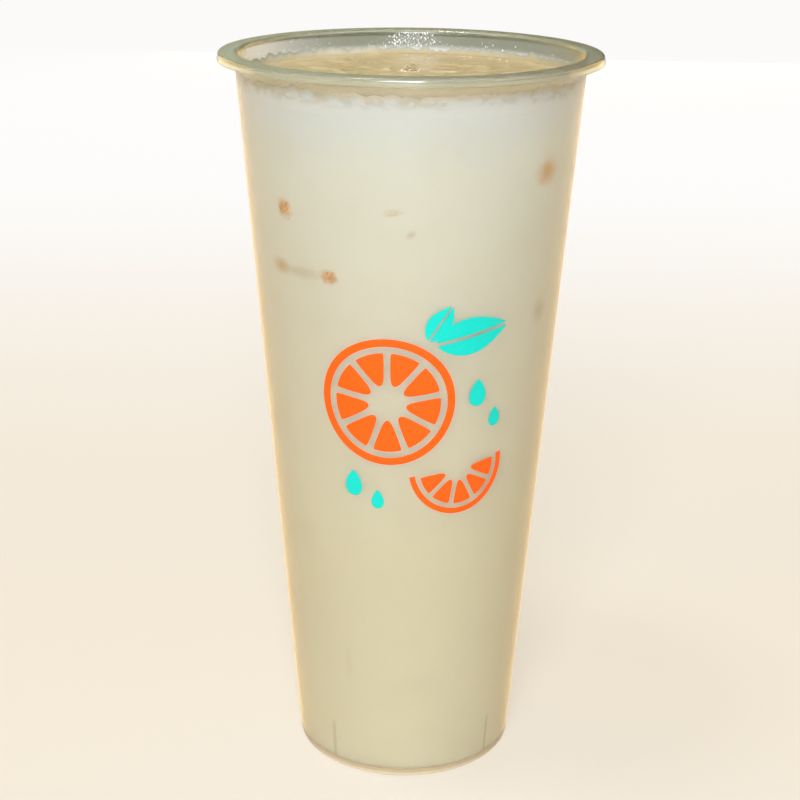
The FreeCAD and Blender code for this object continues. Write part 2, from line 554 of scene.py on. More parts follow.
@dataclass(frozen=True)
class CreamyDrink:
    """Opaque milky drink: whiter towards the top, yellower lower down, a little paler again at the
    very bottom.
    """

    white: Colour = tone(236, 240, 236)
    upper: Colour = tone(242, 242, 226)
    middle: Colour = tone(238, 233, 210)
    lower: Colour = tone(240, 232, 195)
    lowest: Colour = tone(246, 238, 202)
    cloud: Colour = tone(226, 217, 182)
    # Painted shade for the drink along the ribs.
    rib_painted_shade: Colour = tone(228, 218, 174)
    stains: tuple[Stain, ...] = STAINS

    def stained(
        self, recipe: Recipe, place: Any, base: Any, wall: Callable[[float], float]
    ) -> Any:
        """Lay the stains over a colour.

        Args:
            recipe: The tree.
            place: The coordinates' socket.
            base: The colour's socket.
            wall: Gives the wall's inner radius at a height.

        Returns:
            The stained colour's socket.
        """
        ragged = recipe.maths("MULTIPLY", recipe.grain(place, 500.0, 3.0), 0.5)
        for stain in self.stains:
            turn = math.radians(stain.turn)
            middle = around(wall(stain.z * MM), turn, stain.z * MM)
            local = recipe.node(
                "ShaderNodeMapping",
                {
                    "Vector": place,
                    "Location": middle,
                    "Rotation": (0.0, math.radians(-stain.tilt), turn),
                    "Scale": (stain.wide * MM / 2, stain.deep * MM, stain.high * MM / 2),
                },
                vector_type="TEXTURE",
            ).outputs[0]
            away = recipe.measure("LENGTH", local)
            near = recipe.maths("SUBTRACT", 1.35, recipe.maths("ADD", away, ragged))
            part = recipe.maths("MULTIPLY", recipe.spread(near, 0.0, 1.1), stain.strength)
            base = recipe.blend(part, base, stain.colour)
        return base

    def material(
        self, bottom: float, top: float, wall: Callable[[float], float]
    ) -> bpy.types.Material:
        """Make the material.

        Args:
            bottom: The height where the drink begins.
            top: The height where it ends.
            wall: Gives the wall's inner radius at a height.

        Returns:
            The material.
        """
        recipe = Recipe("creamy_drink")
        place = recipe.place()
        height = recipe.split(place).outputs["Z"]
        swirl = recipe.grain(place, 45.0, 3.0, 0.6)
        wavy = recipe.maths("MULTIPLY_ADD", swirl, 10 * MM, height)
        level = recipe.node(
            "ShaderNodeMapRange",
            {"Value": wavy, "From Min": bottom + 5 * MM, "From Max": top + 5 * MM},
        ).outputs["Result"]
        stops = [
            (0.0, self.lowest),
            (0.35, self.lower),
            (0.72, self.middle),
            (0.93, self.upper),
            (1.0, self.white),
        ]
        base = recipe.ramp(level, stops)
        patches = recipe.spread(recipe.grain(place, 60.0, 4.0, 0.4), 0.5, 0.8)
        faint = recipe.maths("MULTIPLY", patches, 0.3)
        cloudy = recipe.blend(faint, base, self.cloud)
        # Darker along each rib: painted shade in the drink's groove, standing for the groove's
        # shadow and the rib's edge.
        ribbed = recipe.blend(recipe.attribute("rib"), cloudy, self.rib_painted_shade)
        return recipe.finish(
            {
                "Base Color": self.stained(recipe, place, ribbed, wall),
                "Roughness": 0.4,
                "Specular IOR Level": 0.4,
            }
        )


@dataclass(frozen=True)
class ThinWater:
    """Water or a bubble's film: clear, smooth, with a trace of milk."""

    name: str
    colour: Colour
    clearness: float
    gloss: float = 0.05
    index: float = 1.33

    def material(self) -> bpy.types.Material:
        """Make the material.

        Returns:
            The material.
        """
        recipe = Recipe(self.name)
        cloudy = recipe.grain(recipe.place(), 900.0, 2.0)
        gloss = recipe.maths("MULTIPLY_ADD", cloudy, 0.05, self.gloss)
        return recipe.finish(
            {
                "Base Color": self.colour,
                "Roughness": gloss,
                "IOR": self.index,
                "Transmission Weight": self.clearness,
            }
        )


@dataclass(frozen=True)
class FruitPulp:
    """Bits of fruit: ochre, with painted shade in their folds, and milky drink over their edges."""

    light: Colour = tone(244, 178, 0)
    dark: Colour = tone(196, 124, 0)
    milk: Colour = tone(238, 236, 214)

    def material(self) -> bpy.types.Material:
        """Make the material, which reads how far a point stands out of the drink.

        Returns:
            The material.
        """
        recipe = Recipe("fruit_pulp")
        place = recipe.place()
        fibres = recipe.grain(place, 1300.0, 3.0, 0.8)
        stands = recipe.attribute("stands")
        uneven = recipe.maths("MULTIPLY_ADD", recipe.grain(place, 1500.0, 2.0), 1.2, stands)
        bare = recipe.spread(uneven, 0.75, 1.7)
        # Painted shade: darker where the fibre grain that raises the bump is low.
        pulp = recipe.ramp(fibres, [(0.35, self.dark), (0.65, self.light)])
        return recipe.finish(
            {
                "Base Color": recipe.blend(bare, self.milk, pulp),
                "Roughness": 0.45,
                "Normal": recipe.bump(fibres, 0.12 * MM, 0.5),
            }
        )


class Ink(Enum):
    """The two inks of the print."""

    ORANGE = tone(250, 86, 0)
    TURQUOISE = tone(2, 192, 176)

    def material(self) -> bpy.types.Material:
        """Make the ink's material: solid colour with a faint screen-printed mottle.

        Returns:
            The material.
        """
        recipe = Recipe(f"ink_{self.name.lower()}")
        mottle = recipe.grain(recipe.place(), 1500.0, 3.0)
        thin = recipe.maths("MULTIPLY", recipe.spread(mottle, 0.55, 0.85), 0.12)
        worn = tuple(0.75 * part + 0.25 for part in self.value[:3])
        return recipe.finish(
            {
                "Base Color": recipe.blend(thin, self.value, (*worn, 1.0)),
                "Roughness": 0.42,
                "Specular IOR Level": 0.25,
                "Normal": recipe.bump(mottle, 0.006 * MM, 0.5),
            }
        )


# ---------------------------------------------------------------- the cup


@dataclass
class CupShape:
    """Sizes of the moulded cup, and the radii and heights that follow from them."""

    height: float
    rim_radius: float
    froth_base: float
    body_radius: float = 41.0 * MM
    foot_radius: float = 27.0 * MM
    wall: float = 1.0 * MM
    lip_thickness: float = 1.0 * MM
    lip_drop: float = 2.0 * MM
    lip_skirt: float = 0.9 * MM
    lip_round: float = 0.8 * MM
    lip_lean: float = 0.26 * MM
    skirt_round: float = 0.35 * MM
    edge_round: float = 0.15 * MM
    mouth_round: float = 1.0 * MM
    foot_round: float = 1.5 * MM
    foot_ring: float = 2.6 * MM
    foot_recess: float = 1.2 * MM
    floor_thickness: float = 1.1 * MM
    floor_round: float = 1.2 * MM
    gate_radius: float = 1.6 * MM
    gate_height: float = 0.4 * MM
    rib_count: int = 4
    rib_turn: float = math.radians(50.0)
    rib_height: float = 10.0 * MM
    rib_depth: float = 0.9 * MM
    rib_width: float = 0.8 * MM
    headspace: float = 6.0 * MM

    def outside(self, z: float) -> float:
        """Give the radius of the wall's outer face at a height."""
        return self.foot_radius + self.slope * z

    def inside(self, z: float) -> float:
        """Give the radius of the wall's inner face at a height."""
        return self.outside(z) - self.wall

    @property
    def slope(self) -> float:
        """Give how much the wall's radius grows with height."""
        return (self.body_radius - self.foot_radius) / self.height

    @property
    def floor(self) -> float:
        """Give the height of the floor's upper face."""
        return self.foot_recess + self.floor_thickness

    @property
    def level(self) -> float:
        """Give the height of the froth's surface."""
        return self.height - self.headspace

    def rib_radius(self, z: float) -> float:
        """Give the radius of a rib's face, or of the wall above the rib.

        Args:
            z: The height.

        Returns:
            The radius there.
        """
        top = self.floor + self.rib_height
        face = self.inside(self.floor) - self.rib_depth
        shoulder = top - self.rib_depth
        if z >= top:
            return self.inside(z)
        part = min(max((z - shoulder) / (top - shoulder), 0.0), 1.0)
        return face + (self.inside(top) - face) * part

    def rib_mask(self, angle: float, half: float, flank: float) -> float:
        """Give how much of a rib is at an angle.

        Args:
            angle: The angle from +X.
            half: Half the rib's width.
            flank: The width over which its side falls away, outside that.

        Returns:
            1 on a rib, 0 off it.
        """
        face = self.inside(self.floor) - self.rib_depth
        pitch = TURN / self.rib_count
        off = (angle - self.rib_turn + pitch / 2) % pitch - pitch / 2
        return 1 - min(max((abs(off) * face - half) / flank, 0.0), 1.0)

    def angles(self, count: int, half: float, flank: float) -> list[float]:
        """Give even angles with extra ones at the ribs' edges.

        Args:
            count: The number of even angles.
            half: Half the ribs' width.
            flank: The width of their sides.

        Returns:
            Angles from +X, in rising order.
        """
        face = self.inside(self.floor) - self.rib_depth
        edges = []
        for i in range(self.rib_count):
            middle = self.rib_turn + TURN * i / self.rib_count
            for offset in (half, half + flank):
                edges += [middle - offset / face, middle + offset / face]
        even = [TURN * i / count for i in range(count)]
        near = 0.2 * flank / face
        kept = [a for a in even if all(abs(a - edge % TURN) > near for edge in edges)]
        return sorted(kept + [edge % TURN for edge in edges])

    def rib_ring(self, count: int, half: float, flank: float) -> tuple[list[float], list[float]]:
        """Give the angles of a ring, as angles does, and how much of a rib is at each."""
        angles = self.angles(count, half, flank)
        return angles, [self.rib_mask(angle, half, flank) for angle in angles]


def ribbed_row(
    radius: float, rib: float, z: float, angles: Sequence[float], masks: Sequence[float]
) -> list[Vector]:
    """Give a ring that leaves its radius for the rib's where there is one.

    Args:
        radius: The ring's radius off the ribs.
        rib: Its radius on a rib.
        z: Its height.
        angles: Its points' angles from +X.
        masks: How much of a rib is at each.

    Returns:
        The ring's points.
    """
    return [
        turned(radius + (rib - radius) * mask, angle, z) for angle, mask in zip(angles, masks)
    ]


class Zone(Enum):
    """The cup's finishes, in the order of its material slots."""

    WALL = 0
    RIM = 1
    FOOT = 2


@dataclass
class Cup:
    """The frosted cup, one closed moulding."""

    shape: CupShape
    wall_finish: FrostedPlastic = WALL_PLASTIC
    rim_finish: FrostedPlastic = RIM_PLASTIC
    foot_finish: FrostedPlastic = FOOT_PLASTIC
    foot_above: float = 0.35 * MM
    mouth_band: float = 0.25 * MM
    rim_margin: float = 0.1 * MM
    upper_tone_low: float = 0.8 * MM
    upper_tone_high: float = 2.6 * MM
    foot_low: float = 0.4 * MM
    foot_high: float = 1.9 * MM
    join_drop: float = 4.0 * MM
    longest: float = 6.0 * MM
    facet: float = math.radians(12.0)
    around: int = 216
    rib_flank: float = 0.08 * MM

    def profile(self) -> tuple[Profile, Profile]:
        """Give the cup's profile, with its corners rounded.

        Returns:
            The outer profile, foot to mouth, and the inner one, mouth to floor.
        """
        shape = self.shape
        lip_under = shape.height - shape.lip_thickness
        skirt_edge = shape.height - shape.lip_drop
        skirt_inner = shape.rim_radius - shape.lip_skirt
        gate_bottom = shape.foot_recess - shape.gate_height
        ring_inner = shape.foot_radius - shape.foot_ring
        small = shape.edge_round
        middle_z = shape.height - self.join_drop
        foot_top = shape.floor + self.foot_above
        outer = [
            (0.0, gate_bottom, 0.0),
            (shape.gate_radius, gate_bottom, small),
            (shape.gate_radius, shape.foot_recess, small),
            (ring_inner, shape.foot_recess, 2 * small),
            (ring_inner, 0.0, 2 * small),
            (shape.foot_radius, 0.0, shape.foot_round),
            (shape.outside(foot_top), foot_top, 0.0),
            (shape.outside(lip_under), lip_under, 2 * small),
            (skirt_inner, lip_under, 2 * small),
            (skirt_inner, skirt_edge, small),
            (shape.rim_radius, skirt_edge, shape.skirt_round),
            (shape.rim_radius - shape.lip_lean, shape.height, shape.lip_round),
            (shape.inside(shape.height), shape.height, shape.mouth_round),
            (shape.inside(middle_z), middle_z, 0.0),
        ]
        inner = [
            (shape.inside(middle_z), middle_z, 0.0),
            (shape.inside(shape.floor), shape.floor, shape.floor_round),
            (0.0, shape.floor, 0.0),
        ]
        finer = 0.5 * shape.rib_depth + self.longest / 4
        return (
            round_profile(outer, self.facet, self.longest),
            round_profile(inner, self.facet, finer),
        )

    def zone(self, middle: Vector) -> Zone:
        """Give the finish of a face.

        Args:
            middle: The face's middle.

        Returns:
            The finish's zone.
        """
        shape = self.shape
        mouth = middle.z > shape.height - self.mouth_band
        outside = middle.xy.length > shape.inside(middle.z) + self.rim_margin
        if middle.z > shape.height - shape.lip_drop - self.rim_margin and (mouth or outside):
            return Zone.RIM
        if middle.z < shape.floor + self.foot_above:
            return Zone.FOOT
        return Zone.WALL

    def build(self) -> bpy.types.Object:
        """Turn the profile about Z, with the ribs raised on its inner part, and dress it.

        Returns:
            The cup.
        """
        shape = self.shape
        outer, inner = self.profile()
        angles, masks = shape.rib_ring(self.around, shape.rib_width / 2, self.rib_flank)
        rows = []
        for radius, z in outer[1:]:
            rows.append([turned(radius, angle, z) for angle in angles])
        for radius, z in inner[1:-1]:
            rib = min(radius, shape.rib_radius(z))
            rows.append(ribbed_row(radius, rib, z, angles, masks))
        mesh = skin("cup_moulding", rows, UP * outer[0][1], UP * inner[-1][1])
        piece = new_piece("cup_moulding", mesh)
        low, high = shape.level + self.upper_tone_low, shape.level + self.upper_tone_high
        finishes = {
            Zone.WALL: self.wall_finish.material(low, high),
            Zone.RIM: self.rim_finish.material(0.0, shape.height),
            Zone.FOOT: self.foot_finish.material(self.foot_low, self.foot_high),
        }
        for zone in Zone:
            piece.data.materials.append(finishes[zone])
        for face in piece.data.polygons:
            face.material_index = self.zone(face.center).value
        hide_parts("cup")
        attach(piece, "root")
        return piece


# ---------------------------------------------------------------- the drink


@dataclass
class Drink:
    """The drink's body, which reaches a little way into the cup's wall and ribs."""

    shape: CupShape
    finish: CreamyDrink = field(default_factory=CreamyDrink)
    around: int = 216
    into: float = 0.25 * MM
    bottom_round: float = 0.6 * MM
    groove: float = 0.18
    groove_fade: float = 0.15 * MM
    top_round: float = 0.05 * MM
    longest: float = 1.2 * MM
    facet: float = math.radians(12.0)
    rib_flank: float = 0.3 * MM

    def build(self) -> bpy.types.Object:
        """Build the body with a groove for each rib, and dress it.

        Returns:
            The drink.
        """
        shape = self.shape
        top = shape.froth_base
        bottom = shape.floor - self.into
        corners = [
            (0.0, bottom, 0.0),
            (shape.inside(bottom) + self.into, bottom, self.bottom_round),
            (shape.inside(top) + self.into, top, self.top_round),
            (0.0, top, 0.0),
        ]
        profile = round_profile(corners, self.facet, self.longest)
        half = shape.rib_width / 2 - self.into / 2
        angles, masks = shape.rib_ring(self.around, half, self.rib_flank)
        rows = []
        grooves: list[float] = []
        for radius, z in profile[1:-1]:
            rib = min(radius, shape.rib_radius(z - self.into) + self.into)
            rib = radius + (rib - radius) * self.groove
            rows.append(ribbed_row(radius, rib, z, angles, masks))
            deep = ease(0.0, self.groove_fade, radius - rib) if z > shape.floor else 0.0
            grooves += [mask * deep for mask in masks]
        mesh = skin("drink_body", rows, UP * bottom, UP * top)
        carry(mesh, "rib", [*grooves, 0.0, 0.0])
        piece = new_piece("drink_body", mesh)
        piece.data.materials.append(self.finish.material(bottom, top, shape.inside))
        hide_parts("drink")
        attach(piece, "root")
        return piece


# ---------------------------------------------------------------- Geometry Nodes


class Tree(Nodes):
    """A Geometry Nodes tree with named inputs, applied to a mesh and then thrown away."""

    def __init__(self, name: str, inputs: dict[str, float | int]) -> None:
        """Start a tree.

        Args:
            name: The tree's name.
            inputs: Its named inputs and their values; whole numbers give whole sockets.
        """
        super().__init__(bpy.data.node_groups.new(name, "GeometryNodeTree"))
        self.values = inputs
        sockets = self.tree.interface
        sockets.new_socket("Geometry", in_out="INPUT", socket_type="NodeSocketGeometry")
        for label, value in inputs.items():
            kind = "NodeSocketInt" if isinstance(value, int) else "NodeSocketFloat"
            sockets.new_socket(label, in_out="INPUT", socket_type=kind)
        sockets.new_socket("Geometry", in_out="OUTPUT", socket_type="NodeSocketGeometry")
        self.source = self.node("NodeGroupInput").outputs

    def chance(self, low: Any, high: Any, seed: Any) -> Any:
        """Give a random number for each element.

        Args:
            low: The least value.
            high: The most.
            seed: The seed.

        Returns:
            The value's socket.
        """
        inputs = {2: low, 3: high, 8: seed}
        return self.node("FunctionNodeRandomValue", inputs, data_type="FLOAT").outputs[1]

    def close(self, geometry: Any, material: bpy.types.Material) -> None:
        """End the tree: realize, smooth and set the material.

        Args:
            geometry: The socket of what the tree has made.
            material: Its material.
        """
        real = self.node("GeometryNodeRealizeInstances", {"Geometry": geometry})
        smooth = self.node("GeometryNodeSetShadeSmooth", {"Geometry": real.outputs[0]})
        dressed = self.node(
            "GeometryNodeSetMaterial", {"Geometry": smooth.outputs[0], "Material": material}
        )
        self.node("NodeGroupOutput", {0: dressed.outputs[0]})

    def apply(self, name: str, mesh: bpy.types.Mesh) -> bpy.types.Object:
        """Run the tree on a mesh.

        Args:
            name: The new piece's name.
            mesh: The mesh that the tree starts from.

        Returns:
            A plain piece with the result.
        """
        carrier = bpy.data.objects.new(f"{name}_carrier", mesh)
        link(carrier)
        modifier = carrier.modifiers.new(self.tree.name, "NODES")
        modifier.node_group = self.tree
        for item in self.tree.interface.items_tree:
            if item.in_out == "INPUT" and item.name in self.values:
                modifier[item.identifier] = self.values[item.name]
        graph = bpy.context.evaluated_depsgraph_get()
        result = bpy.data.meshes.new_from_object(carrier.evaluated_get(graph))
        carrier.modifiers.remove(modifier)
        bpy.data.objects.remove(carrier)
        bpy.data.node_groups.remove(self.tree)
        result.name = name
        return new_piece(name, result)


@dataclass
class Strewn:
    """Small rounded shapes strewn over a surface, each flattened onto it.

    The density is the most that lie on a square metre. The greater the rarity, the fewer of
    them are large. Length is how many times longer than wide each one is, and lean is the most
    that it is turned either way in the surface.
    """

    name: str
    spacing: float
    density: float
    smallest: float
    largest: float
    flatness: float = 0.5
    length: float = 1.0
    lean: float = math.pi
    sides: int = 8
    rings: int = 6
    rarity: float = 2.5
    lean_seed: int = 3
    seed: int = 1

    def build(self, bed: bpy.types.Mesh, material: bpy.types.Material) -> bpy.types.Object:
        """Strew the shapes.

        Args:
            bed: The surface, with a point attribute named share for the local density.
            material: The shapes' material.

        Returns:
            One piece with all the shapes.
        """
        tree = Tree(
            self.name,
            {
                "Spacing": self.spacing,
                "Density": self.density,
                "Smallest": self.smallest,
                "Largest": self.largest,
                "Flatness": self.flatness,
                "Length": self.length,
                "Lean": self.lean,
                "Seed": self.seed,
            },
        )
        source = tree.source
        share = tree.node("GeometryNodeInputNamedAttribute", {"Name": "share"})
        spots = tree.node(
            "GeometryNodeDistributePointsOnFaces",
            {
                "Mesh": source["Geometry"],
                "Distance Min": source["Spacing"],
                "Density Max": source["Density"],
                "Density Factor": share.outputs[0],
                "Seed": source["Seed"],
            },
            distribute_method="POISSON",
        )
        ball = tree.node(
            "GeometryNodeMeshUVSphere",
            {"Segments": self.sides, "Rings": self.rings, "Radius": 1.0},
        )
        squashed = tree.node(
            "ShaderNodeCombineXYZ", {"X": 1.0, "Y": source["Length"], "Z": source["Flatness"]}
        )
        lens = tree.node(
            "GeometryNodeTransform",
            {"Geometry": ball.outputs["Mesh"], "Scale": squashed.outputs[0]},
        )
        least = tree.maths("MULTIPLY", source["Lean"], -1.0)
        lean = tree.chance(least, source["Lean"], self.lean_seed)
        spin = tree.node("FunctionNodeAxisAngleToRotation", {"Axis": UP, "Angle": lean})
        facing = tree.node(
            "FunctionNodeRotateRotation",
            {"Rotation": spots.outputs["Rotation"], "Rotate By": spin.outputs[0]},
            rotation_space="LOCAL",
        )
        even = tree.chance(0.0, 1.0, source["Seed"])
        few_large = tree.maths("POWER", even, self.rarity)
        span = tree.maths("SUBTRACT", source["Largest"], source["Smallest"])
        size = tree.maths("MULTIPLY_ADD", few_large, span, source["Smallest"])
        copies = tree.node(
            "GeometryNodeInstanceOnPoints",
            {
                "Points": spots.outputs["Points"],
                "Instance": lens.outputs[0],
                "Rotation": facing.outputs[0],
                "Scale": size,
            },
        )
        tree.close(copies.outputs[0], material)
        return tree.apply(self.name, bed)


def strip(
    name: str,
    angles: Sequence[float],
    spots: Callable[[float, float], Vector],
    rows: int,
    share: Callable[[float, float], float],
) -> bpy.types.Mesh:
    """Build an open surface that carries a density.

    Args:
        name: The mesh's name.
        angles: Angles from -Y towards +X, the columns.
        spots: Gives the point at an angle and a part, 0 to 1, of the way across.
        rows: The number of rows across.
        share: Gives the density there, 0 to 1.

    Returns:
        The mesh, with the point attribute share.
    """
    points: list[Vector] = []
    shares: list[float] = []
    for angle in angles:
        for i in range(rows):
            part = i / (rows - 1)
            points.append(spots(angle, part))
            shares.append(share(angle, part))
    faces = []
    for column in range(len(angles) - 1):
        for row in range(rows - 1):
            here, there = column * rows + row, (column + 1) * rows + row
            faces.append((here, here + 1, there + 1, there))
    mesh = bpy.data.meshes.new(name)
    mesh.from_pydata(points, [], faces)
    carry(mesh, "share", shares)
    return mesh


def ring_angles(count: int) -> list[float]:
    """Give the angles of a full turn in equal steps, with both its ends."""
    return [TURN * i / count for i in range(count + 1)]


def wall_bed(
    name: str, shape: CupShape, low: float, high: float, share: Callable[[float, float], float]
) -> bpy.types.Mesh:
    """Build a strip of the wall's inner face, for strewing over.

    Args:
        name: The mesh's name.
        shape: The cup's sizes.
        low: Its lower edge, above the level.
        high: Its upper edge, above the level.
        share: Gives the density at an angle from -Y, towards -X, and a part, 0 to 1, of the
            way up.

    Returns:
        The mesh, whose faces point into the cup.
    """
    bottom, top = shape.level + low, shape.level + high

    def spots(angle: float, part: float) -> Vector:
        """Give a point of the wall's inner face."""
        z = bottom + (top - bottom) * part
        return around(shape.inside(z), -angle, z)

    return strip(name, ring_angles(240), spots, 8, share)


# ---------------------------------------------------------------- the froth


WAVE_SEED = 11
WAVES: dict[str, float] = {"Scale": 150.0, "Detail": 2.5, "Distortion": 1.2}


@dataclass(frozen=True)
class WetFroth:
    """Fine froth: tan and creased on top, white and bubbly where it clings to the wall."""

    tan: Colour = tone(207, 190, 144)
    # dark, pale and crease paint shade in the ripples' hollows, light on their crests, and shade in
    # their creases.
    dark: Colour = tone(193, 174, 124)
    pale: Colour = tone(234, 223, 188)
    smooth: Colour = tone(210, 191, 146)
    crease: Colour = tone(160, 133, 82)
    white: Colour = tone(238, 240, 236)
    # The film's tones, from foot to grey and haze, are kept darker than the froth's own as painted
    # shade.
    foot: Colour = tone(166, 151, 112)
    film: Colour = tone(166, 164, 140)
    grey: Colour = tone(150, 153, 140)
    haze: Colour = tone(184, 184, 164)
    shade: Colour = tone(204, 204, 188)
    veil: Colour = tone(222, 210, 176)
    far_veil: Colour = tone(168, 170, 156)
    calm_from: float = 16.0 * MM
    calm_to: float = 32.0 * MM
    line_middle: float = 0.49
    line_thin: float = 0.003
    line_wide: float = 0.034
    ring_thin: float = 0.15 * MM
    ring_wide: float = 0.6 * MM
    ragged: float = 2.4 * MM
    wall_from: float = -0.4 * MM
    wall_to: float = 1.0 * MM
    side_from: float = 0.05 * MM
    side_to: float = 0.15 * MM
    relief: float = 0.08 * MM

    def material(
        self, shape: CupShape, bubble: Vector, bubble_radius: float
    ) -> bpy.types.Material:
        """Make the material.

        Args:
            shape: The cup's sizes, for the wall's inner face and the level.
            bubble: The middle of the large bubble's ring.
            bubble_radius: The ring's radius.

        Returns:
            The material.
        """
        recipe = Recipe("wet_froth")
        place = recipe.place()
        axes = recipe.split(place)
        height = recipe.maths("SUBTRACT", axes.outputs["Z"], shape.level)
        across = recipe.node(
            "ShaderNodeCombineXYZ", {"X": axes.outputs["X"], "Y": axes.outputs["Y"]}
        ).outputs[0]
        radius = recipe.measure("LENGTH", across)
        wall = recipe.maths("MULTIPLY_ADD", height, shape.slope, shape.inside(shape.level))
        depth = recipe.maths("SUBTRACT", radius, wall)
        soft = recipe.grain(place, 170.0, 5.0, 1.2)
        fine = recipe.grain(place, 1000.0, 3.0)
        waves = recipe.node(
            "ShaderNodeTexNoise",
            {"Vector": across, **WAVES, "W": float(WAVE_SEED)},
            noise_dimensions="4D",
        ).outputs[0]
        # Thin lines along the ripples: painted shade of their creases in the colour, and furrows in
        # the bump.
        off_line = recipe.maths("ABSOLUTE", recipe.maths("SUBTRACT", waves, self.line_middle))
        backwards = recipe.maths("MULTIPLY_ADD", soft, 14 * MM, axes.outputs["Y"])
        calm = recipe.spread(backwards, self.calm_from, self.calm_to)
        off = recipe.spread(off_line, self.line_thin, self.line_wide)
        line = recipe.maths("SUBTRACT", 1.0, off)
        crease = recipe.maths("MULTIPLY", line, recipe.maths("SUBTRACT", 1.0, calm))
        top = self.top(recipe, waves, soft, crease)
        top = recipe.blend(recipe.maths("MULTIPLY", calm, 0.7), top, self.smooth)

        # A white ring round the large bubble: partly the collar's own white froth, partly painted
        # sparkle.
        away = recipe.measure("DISTANCE", place, bubble)
        off_ring = recipe.maths("ABSOLUTE", recipe.maths("SUBTRACT", away, bubble_radius))
        off = recipe.spread(off_ring, self.ring_thin, self.ring_wide)
        ring = recipe.maths("SUBTRACT", 1.0, off)
        ringed = recipe.blend(recipe.maths("MULTIPLY", ring, 0.8), top, self.white)

        below = recipe.attribute("below")
        film = self.film_colour(recipe, axes, soft, below, height)
        ragged = recipe.maths("MULTIPLY_ADD", soft, self.ragged, depth)
        at_wall = recipe.spread(ragged, self.wall_from, self.wall_to)
        inner = recipe.blend(at_wall, ringed, film)
        in_wall = recipe.spread(depth, self.side_from, self.side_to)
        off_wall = recipe.maths("SUBTRACT", at_wall, 1.0)
        furrow = recipe.maths("MULTIPLY", crease, off_wall)
        relief = recipe.maths("MULTIPLY_ADD", fine, 0.3, furrow)
        side = self.side(recipe, place, below, height)
        return recipe.finish(
            {
                "Base Color": recipe.blend(in_wall, inner, side),
                "Roughness": recipe.maths("MULTIPLY_ADD", at_wall, 0.4, 0.3),
                "Specular IOR Level": 0.5,
                "Normal": recipe.bump(relief, self.relief, 0.7),
            }
        )

    def top(self, recipe: Recipe, waves: Any, soft: Any, crease: Any) -> Any:
        """Give the open surface's colour: painted shade in the hollows, painted light on the
        crests, painted shade lines in the creases.

        Args:
            recipe: The tree.
            waves: The noise that raises the ripples.
            soft: Soft noise.
            crease: How much of a crease a point is.

        Returns:
            The colour's socket.
        """
        mixed = recipe.maths("MULTIPLY_ADD", soft, 0.35, recipe.maths("MULTIPLY", waves, 0.65))
        stops = [(0.36, self.dark), (0.46, self.tan), (0.53, self.tan), (0.64, self.pale)]
        patches = recipe.ramp(mixed, stops)
        faint = recipe.maths("MULTIPLY", crease, recipe.spread(soft, 0.38, 0.6))
        return recipe.blend(recipe.maths("MULTIPLY", faint, 0.6), patches, self.crease)

    def film_colour(self, recipe: Recipe, axes: Any, soft: Any, below: Any, height: Any) -> Any:
        """Give the colour of the film's inner face: tan at its foot, grey where it ends, in tones
        kept darker than the froth's own as painted shade.

        Args:
            recipe: The tree.
            axes: The coordinates, split.
            soft: Soft noise.
            below: How far the point is under the film's top.
            height: How far it is over the level.

        Returns:
            The colour's socket. It is whiter on the left.
        """
        leftwards = recipe.maths("MULTIPLY_ADD", soft, 14 * MM, axes.outputs["X"])
        left = recipe.spread(leftwards, 4 * MM, -10 * MM)
        edge = recipe.maths("MULTIPLY_ADD", soft, 1.2 * MM, below)
        thick = recipe.spread(edge, 0.4 * MM, 2.0 * MM)
        upper = recipe.blend(thick, self.grey, recipe.blend(left, self.film, self.haze))
        ragged = recipe.maths("MULTIPLY_ADD", soft, 2.0 * MM, height)
        raised = recipe.maths("MULTIPLY_ADD", left, 0.5 * MM, ragged)
        return recipe.blend(recipe.spread(raised, 2.9 * MM, 0.9 * MM), upper, self.foot)

    def side(self, recipe: Recipe, place: Any, below: Any, height: Any) -> Any:
        """Give the colour of the face in the wall: white, greyer and patchy near its top.

        Args:
            recipe: The tree.
            place: The coordinates' socket.
            below: How far the point is under the film's top.
            height: How far it is over the level.

        Returns:
            The colour's socket.
        """
        flat = recipe.scaled(place, (1.0, 1.0, 2.0))
        patches = recipe.grain(flat, 300.0, 3.0, 0.5)
        hole = recipe.spread(patches, 0.47, 0.62)
        near_top = recipe.spread(height, -2.2 * MM, 0.4 * MM)
        holes = recipe.maths("MULTIPLY", recipe.maths("MULTIPLY", hole, near_top), 0.7)
        greying = recipe.maths("MULTIPLY", recipe.spread(height, -2.4 * MM, 2.6 * MM), 0.5)
        white = recipe.blend(greying, self.white, self.shade)
        ragged = recipe.maths("MULTIPLY_ADD", patches, -2.6 * MM, below)
        solid = recipe.spread(ragged, -1.2 * MM, 0.4 * MM)
        # Towards the back the film's thin top turns grey: painted shade.
        back = recipe.spread(recipe.split(place).outputs["Y"], -5 * MM, 20 * MM)
        veil = recipe.blend(back, self.veil, self.far_veil)
        return recipe.blend(solid, veil, recipe.blend(holes, white, self.shade))


BUBBLE_FILM = ThinWater(
    name="bubble_film", colour=tone(250, 246, 236), clearness=1.0, gloss=0.02
)
FOAM = ThinWater(name="foam_bubble", colour=tone(240, 228, 196), clearness=0.2, gloss=0.1)
MILK = ThinWater(name="milk_fleck", colour=tone(196, 196, 178), clearness=0.2, gloss=0.25)
SMALL_BUBBLES = Strewn(
    name="froth_small_bubbles",
    spacing=0.5 * MM,
    density=0.3e6,
    smallest=0.08 * MM,
    largest=0.3 * MM,
    flatness=0.7,
    seed=5,
)
COLLAR_BUBBLES = Strewn(
    name="froth_collar_bubbles",
    spacing=0.34 * MM,
    density=2.2e6,
    smallest=0.1 * MM,
    largest=0.24 * MM,
    flatness=0.8,
    seed=3,
)
FLECKS = Strewn(
    name="froth_flecks",
    spacing=0.3 * MM,
    density=2.2e6,
    smallest=0.08 * MM,
    largest=0.3 * MM,
    flatness=0.3,
    seed=9,
)


